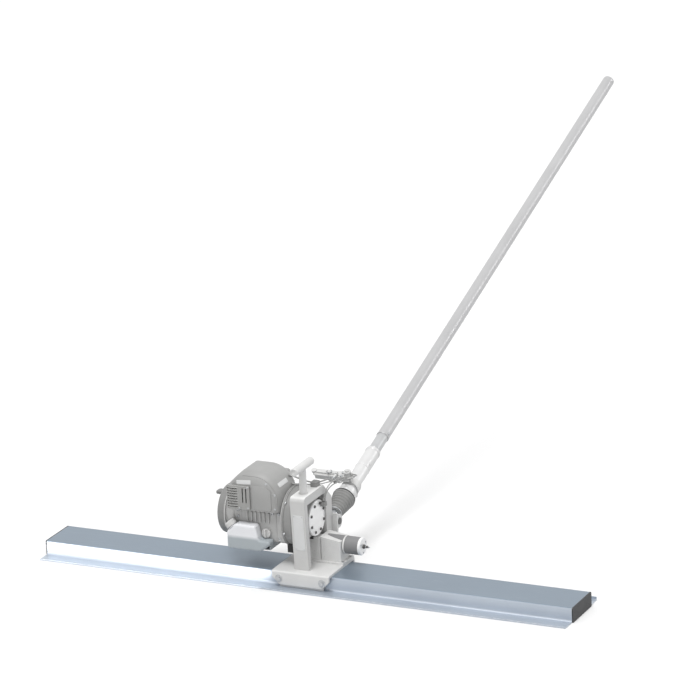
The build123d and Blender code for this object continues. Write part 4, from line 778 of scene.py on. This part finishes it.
# ------------------------------------------------------------------ tank's caps
FUEL_CAP = [(15.4, 3.2), (17.6, 3.3), (18.0, 4.4), (18.0, 17.2), (17.7, 18.6), (16.8, 20.0), (15.0, 20.9),
            (13.2, 20.9), (12.4, 19.8), (11.0, 19.4), (6.0, 19.6), (0.5, 19.7)]
FILLER_COLLAR = [(13.2, -1.5), (16.2, -1.2), (16.8, -0.2), (16.6, 1.0), (14.4, 2.0), (13.2, 2.2)]
OIL_CAP = [(15.0, -7.6), (15.6, -7.0), (15.6, -1.2), (14.8, -0.2), (13.0, -0.2)]
cap_at = axes(joint_at("fuel_cap_turn"), joint("fuel_cap_turn")["axis"])
oil_at = axes(joint_at("oil_cap_turn"), joint("oil_cap_turn")["axis"])
turned("fuel_cap_ribbed", FUEL_CAP, "button_plastic", "filler_cap", cap_at, n=240,
       ripple=grooves(30, 0.045, range(2, 6)), replaces=("fuel_cap",), sharp=60)
turned("filler_collar", FILLER_COLLAR, "tank_plastic", "root", cap_at, n=72, closed=True)
turned("oil_cap_grip", OIL_CAP, "button_plastic", "oil_plug", oil_at, n=240,
       ripple=grooves(24, 0.05, range(1, 4)))

# ------------------------------------------------------------------ air cleaner
cleaner_low, cleaner_high = low("air_cleaner"), high("air_cleaner")
cx, cz = (cleaner_low.x + cleaner_high.x) / 2, (cleaner_low.z + cleaner_high.z) / 2
RIBS, RIB_PITCH, RIB_HALF = 5, 10.0, 27.0
cleaner_back = axes((0, cleaner_high.y, 0), (0, 1, 0))
cleaner_plate = rectangle(66, 56, 8, at=(-cx, cz))
pad("cleaner_panel", cleaner_plate, "engine_plastic", cleaner_back, thick=1.6, edge=1.0, base=-0.2)
ribs = []
for i in range(RIBS):
    z = cz + RIB_PITCH * (i - (RIBS - 1) / 2)
    line = [(x, cleaner_high.y + 1.2, z) for x in (cx - RIB_HALF, cx + RIB_HALF)]
    ribs.append(swept(line, round_section(1.2, 8)))
verts, faces = joined(ribs)
piece("cleaner_ribs", verts, faces, "engine_plastic", "root", sharp=60)
cleaner_loop = [(x, cleaner_low.y + 24, z) for x, z in rectangle(92.6, 82.6, 12, at=(cx, cz))]
strip("cleaner_joint", cleaner_loop, "engine_plastic", "root", radius=0.9, closed=True)

# ------------------------------------------------------------------ head frame's leg and handle
leg_at = axes(*touch("head_frame", (POST_X, -200, 182), (0, 1, 0)))
pad("leg_plate", rectangle(35, 118, 3), "cover_metal", leg_at, thick=0.9, edge=0.6, base=-0.2,
    look="plate_metal")
rivets = [leg_at @ Matrix.Translation((x, y, 0.6)) for x in (-14, 14) for y in (-55, 55)]
cap_screws("leg_plate_rivets", rivets, "root", r=1.9, h=1.0, socket=0.4)
bar_low, bar_high = low("lift_handle"), high("lift_handle")
HANDLE_PLUG = [(9.4, -7), (9.4, -1.2), (8.8, -0.7), (6.4, -0.9), (5.6, -2.4), (0.4, -2.6)]
for side, y, way in (("front", bar_low.y, -1), ("rear", bar_high.y, 1)):
    bar_end = axes((POST_X, y, bar_high.z - 13), (0, way, 0))
    turned(f"handle_plug_{side}", HANDLE_PLUG, "light_paint", "root", bar_end)

# ------------------------------------------------------------------ exciter
EXCITER_AT = joint_at("exciter_spin")
TUBE_R = (high("exciter_tube").y - low("exciter_tube").y) / 2
exciter_x = axes((0, EXCITER_AT.y, EXCITER_AT.z), (1, 0, 0))
band_rows = [(TUBE_R - 0.5, 96), (TUBE_R + 1.4, 96.3), (TUBE_R + 1.9, 97.2), (TUBE_R + 1.9, 100),
             (TUBE_R + 1.4, 101), (TUBE_R - 0.5, 101.3)]
turned("exciter_band", band_rows, "casting", "root", exciter_x, n=96, closed=True)
cap_x = high("exciter_end_cap").x - 0.3
cap_places = round_places(cap_x, EXCITER_AT, radius=20.5, count=3, start=30, way=1)
cap_screws("exciter_cap_screws", cap_places, "root", r=2.9, h=2.0, socket=1.4)
NIPPLE = [(4.6, 0), (4.6, 4.5), (3.2, 5.2), (3.0, 7.5), (4.0, 8.6), (4.2, 10.5), (2.6, 12.6), (2.2, 15.5),
          (3.4, 17.4), (3.5, 19.4), (2.7, 21.2), (1.2, 21.9), (0.3, 22.0)]


def nipple_key(a, i):
    """The hexagon at the nipple's foot."""
    return 1.0 / max(0.87, math.cos(a % (math.pi / 3) - math.pi / 6)) if i < 2 else 1.0


nipple_at = axes((low("grease_nipple").x, EXCITER_AT.y, EXCITER_AT.z), (1, 0, 0))
turned("nipple_turned", NIPPLE, "zinc", "root", nipple_at, n=48, ripple=nipple_key, sharp=30)

# ------------------------------------------------------------------ clamp and tilt joint
CLAMP_BOLT_X, CLAMP_BOLT_Z = (-70, 80), 32
CLAMP_WASHER = [(8.2, -0.2), (11.6, -0.2), (12.2, 0.3), (12.2, 1.2), (11.6, 1.6), (8.2, 1.6)]
clamp_faces = ((low("clamp_saddle").y, -1), (high("clamp_saddle").y, 1))
clamp_bolts = [axes((x, y, CLAMP_BOLT_Z), (0, way, 0)) for x in CLAMP_BOLT_X for y, way in clamp_faces]
for k, place in enumerate(clamp_bolts):
    turned(f"clamp_washer_{k}", CLAMP_WASHER, "zinc", "root", place, closed=True, sharp=40)

CLEVIS_BOLTS = [(x, z) for x in (-13, 13) for z in (125.5, 176.5)]
clevis_y = low("tilt_clevis").y + 7.8
clevis_bolts = [axes((x, clevis_y, z), (0, 1, 0)) for x, z in CLEVIS_BOLTS]
cap_screws("clevis_bolts", clevis_bolts, "root", r=5.4, h=4.6, socket=2.8)
turned("pin_washer", [(7.2, -3.4), (12.6, -3.4), (12.6, -1.9), (7.2, -1.9)], "zinc", "root",
       axes((high("pivot_pin").x, PIVOT_AT.y, PIVOT_AT.z), (1, 0, 0)), closed=True, sharp=30)


# ------------------------------------------------------------------ bands on the sleeve and pole
def pole_band(name, start, outer, width, slot, body="tilt_unit", wall=2.5):
    """A turned band round the pole's axis, by where it starts, its outer radius, its width and its wall."""
    inner, end = outer - wall, start + width
    rows = [(inner, start), (outer - 0.5, start), (outer, start + 0.6), (outer, end - 0.6), (outer - 0.5, end),
            (inner, end)]
    turned(name, rows, slot, body, POLE, n=96, closed=True, sharp=40)


SLEEVE_R, SLEEVE_END, COLLAR_R = 24.0, 357.0, 31.0
pole_band("boot_clip_small", 37.5, 23.6, 5.0, "zinc", wall=2.6)
pole_band("boot_neck", 38.5, 22.4, 3.0, "light_paint", wall=15.4)
pole_band("boot_rim_ring", 112.4, 37.4, 5.4, "black_rubber", wall=6.0)
pole_band("collar_groove_a", 121, COLLAR_R + 0.5, 3.0, "sleeve_metal")
pole_band("collar_groove_b", 128, COLLAR_R + 0.5, 3.0, "sleeve_metal")
pole_band("sleeve_end_ring", SLEEVE_END - 12, SLEEVE_R + 1.2, 11.0, "sleeve_metal")
pole_band("sleeve_mid_ring", 262, SLEEVE_R + 0.8, 4.0, "sleeve_metal")
pole_band("coupler_ring", SLEEVE_END + 3, 20.6, 6.0, "coupler_metal", "pole_unit", wall=1.7)
pole_band("pole_start_ring", 433.4, 21.4, 7.0, "pole_metal", "pole_unit", wall=1.8)


# ------------------------------------------------------------------ control details
def on_route(route, index, back=0.0):
    """Point and direction at a route's end: index 0 or -1, looking out of the cable."""
    a, b = (Vector(route[0]), Vector(route[1])) if index == 0 else (Vector(route[-1]), Vector(route[-2]))
    way = (a - b).normalized()
    return a - way * back, way


def cable_sleeve(name, route, index, body, r, length, slot="cable_skin"):
    """A stepped rubber or metal sleeve on a cable's end."""
    rows = [(r * 0.62, -length), (r * 0.72, -length + 0.8), (r * 0.86, -length * 0.55), (r, -length * 0.5),
            (r, -length * 0.2), (r * 0.9, -length * 0.16), (r * 0.9, -0.6), (r * 0.8, -0.1)]
    turned(name, rows, slot, body, axes(*on_route(route, index)), n=36)


cable_sleeve("throttle_adjuster", THROTTLE_ROUTE, -1, "tilt_unit", r=4.2, length=16, slot="control_metal")
cable_sleeve("throttle_boot", THROTTLE_ROUTE, 0, "root", r=4.4, length=14)
cable_sleeve("kill_sleeve", STOP_ROUTE, 0, "root", r=3.2, length=10)
cable_sleeve("kill_sleeve_upper", STOP_ROUTE, -1, "tilt_unit", r=3.0, length=8)
WIRES = (("earth", EARTH_ROUTE), ("live", LIVE_ROUTE))
for tag, route in WIRES:
    cable_sleeve(f"{tag}_sleeve_upper", route, 0, "tilt_unit", r=2.9, length=7)
for tag, route in WIRES:
    cable_sleeve(f"{tag}_sleeve", route, -1, "root", r=2.9, length=7)


def coil(name, matrix, radius, wire, length, turns):
    """A zinc wire wound round the matrix's Z axis."""
    steps = turns * 20
    line = []
    for i in range(steps + 1):
        a = 2 * math.pi * turns * i / steps
        line.append(matrix @ Vector((radius * math.cos(a), radius * math.sin(a), length * i / steps)))
    strip(name, line, "zinc", "tilt_unit", radius=wire, sharp=60)


PLATE_TOP, PLATE_UNDER = 52.0, 48.0                 # the bracket's plate, from the pole's axis
LEVER_X, LEVER_TOP, LEVER_ALONG = 62.0, 56.6, 164.0
BOLT_X, BOLTS_ALONG = 18, (156, 173)
BRACKET_POST = [(3.2, 0), (3.2, 9), (5.0, 9.6), (5.0, 13), (3.4, 13.4), (3.4, 16), (6.6, 16.6), (7.2, 18),
                (7.2, 24), (6.4, 25.6), (3.0, 26)]
bolt_tops = [POLE @ axes((BOLT_X, PLATE_TOP - 0.1, t), (0, 1, 0)) for t in BOLTS_ALONG]
bolt_ends = [POLE @ axes((BOLT_X, PLATE_UNDER + 0.1, t), (0, -1, 0)) for t in BOLTS_ALONG]
cap_screws("bracket_bolts", bolt_tops, "tilt_unit", r=5.0, h=4.2, socket=2.4)
cap_screws("bracket_nuts", bolt_ends, "tilt_unit", r=4.6, h=5.0, socket=2.4)
turned("bracket_post", BRACKET_POST, "black_rubber", "tilt_unit",
       POLE @ axes((44, PLATE_UNDER + 0.1, 157), (0, -1, 0)), n=72,
       ripple=grooves(18, 0.05, range(7, 9), power=1), sharp=40, look="clip_rubber")
lever_pin = POLE @ axes((LEVER_X, LEVER_TOP + 0.9, LEVER_ALONG), (0, 1, 0))
coil("lever_coil", lever_pin, radius=8.4, wire=0.8, length=4.2, turns=3)
spring_at, spring_way = on_route(THROTTLE_ROUTE, -1, 17.0)
coil("throttle_spring", axes(spring_at, -spring_way), radius=4.0, wire=0.75, length=15.0, turns=8)

# ------------------------------------------------------------------ floor, sky and lamps
# The main sun is soft. A small one draws the streak on the tubes, and a low strip lights the left half of the
# blade's front. Places and sizes are in metres, angles in degrees.
FLOOR_HALF, FLOOR_Z, FLOOR_WHITE, FLOOR_GLOW = 30.0, -0.0005, 0.62, 0.24
SKY, SUN, GLINT, STRIP = 0.80, 1.8, 0.16, 0.42      # strengths
SUN_FROM, SUN_ANGLE = (0.02, -0.34, 0.94), 24
GLINT_FROM, GLINT_ANGLE = (0.684, 0.613, 0.39), 5
STRIP_SIZE, STRIP_SPREAD = (1.26, 0.034), 60
STRIP_AT, STRIP_TO = (-0.76, -0.150, 0.019), (-0.76, -0.08, 0.030)


def seen_share(nodes, links, amount):
    """amount for what the camera, gloss and clear pieces see, and 0 for the light that falls on the object."""
    path = nodes.new("ShaderNodeLightPath")
    value = path.outputs["Is Camera Ray"]
    for name in ("Is Glossy Ray", "Is Transmission Ray"):
        either = nodes.new("ShaderNodeMath")
        either.operation = "MAXIMUM"
        links.new(value, either.inputs[0])
        links.new(path.outputs[name], either.inputs[1])
        value = either.outputs[0]
    scaled = nodes.new("ShaderNodeMath")
    scaled.operation = "MULTIPLY"
    scaled.inputs[1].default_value = amount
    links.new(value, scaled.inputs[0])
    return scaled.outputs[0]


def add_floor():
    """A white floor that keeps a soft shadow and glows a little for the camera."""
    s = FLOOR_HALF
    mesh = bpy.data.meshes.new("floor")
    mesh.from_pydata([(-s, -s, 0), (s, -s, 0), (s, s, 0), (-s, s, 0)], [], [(0, 1, 2, 3)])
    floor = in_scene("floor", mesh)
    floor.location.z = FLOOR_Z
    material = bpy.data.materials.new("floor_white")
    material.use_nodes = True
    nodes, links = material.node_tree.nodes, material.node_tree.links
    nodes.clear()
    output = nodes.new("ShaderNodeOutputMaterial")
    diffuse = nodes.new("ShaderNodeBsdfDiffuse")
    diffuse.inputs["Color"].default_value = (FLOOR_WHITE, FLOOR_WHITE, FLOOR_WHITE, 1)
    glow = nodes.new("ShaderNodeEmission")
    total = nodes.new("ShaderNodeAddShader")
    links.new(seen_share(nodes, links, FLOOR_GLOW), glow.inputs["Strength"])
    links.new(diffuse.outputs[0], total.inputs[0])
    links.new(glow.outputs[0], total.inputs[1])
    links.new(total.outputs[0], output.inputs[0])
    mesh.materials.append(material)


def add_sky():
    """An even sky, which the camera and gloss see as pure white."""
    world = bpy.data.worlds.new("studio")
    bpy.context.scene.world = world
    world.use_nodes = True
    nodes, links = world.node_tree.nodes, world.node_tree.links
    nodes.clear()
    output = nodes.new("ShaderNodeOutputWorld")
    fill = nodes.new("ShaderNodeBackground")
    seen = nodes.new("ShaderNodeBackground")
    fill.inputs["Strength"].default_value = SKY
    fill.inputs["Color"].default_value = (1, 1, 1, 1)
    seen.inputs["Color"].default_value = (1, 1, 1, 1)
    blend = nodes.new("ShaderNodeMixShader")
    links.new(seen_share(nodes, links, 1.0), blend.inputs[0])
    links.new(fill.outputs[0], blend.inputs[1])
    links.new(seen.outputs[0], blend.inputs[2])
    links.new(blend.outputs[0], output.inputs[0])


def add_lamp(name, kind, energy, way):
    """A lamp whose light comes from a direction."""
    lamp = in_scene(name, bpy.data.lights.new(name, kind))
    lamp.data.energy = energy
    lamp.rotation_euler = Vector(way).to_track_quat("Z", "Y").to_euler()
    return lamp


add_floor()
add_sky()
add_lamp("sun", "SUN", SUN, SUN_FROM).data.angle = math.radians(SUN_ANGLE)
add_lamp("glint", "SUN", GLINT, GLINT_FROM).data.angle = math.radians(GLINT_ANGLE)
strip_lamp = add_lamp("strip", "AREA", STRIP, Vector(STRIP_AT) - Vector(STRIP_TO))
strip_lamp.location = STRIP_AT
strip_lamp.visible_camera = False
strip_lamp.data.shape = "RECTANGLE"
strip_lamp.data.size, strip_lamp.data.size_y = STRIP_SIZE
strip_lamp.data.spread = math.radians(STRIP_SPREAD)

# ------------------------------------------------------------------ camera
YAW, PITCH, ROLL = math.radians(26.031), math.radians(17.685), math.radians(-2.554)
CAMERA_AT = (5.53278, -10.98558, 4.67600)
SENSOR, LENS = 36.0, 214.16863                      # mm
scene = bpy.context.scene
scene.view_settings.view_transform = "Standard"
camera = in_scene("camera", bpy.data.cameras.new("camera"))
scene.camera = camera
camera.data.sensor_width = SENSOR
camera.data.lens = LENS
camera.data.clip_end = 60.0
forward = Vector((-math.sin(YAW) * math.cos(PITCH), math.cos(YAW) * math.cos(PITCH), -math.sin(PITCH)))
right = Vector((math.cos(YAW), math.sin(YAW), 0))
up = right.cross(forward)
right, up = math.cos(ROLL) * right + math.sin(ROLL) * up, -math.sin(ROLL) * right + math.cos(ROLL) * up
stand = Matrix((right, up, -forward)).transposed().to_4x4()
stand.translation = Vector(CAMERA_AT)
camera.matrix_world = stand
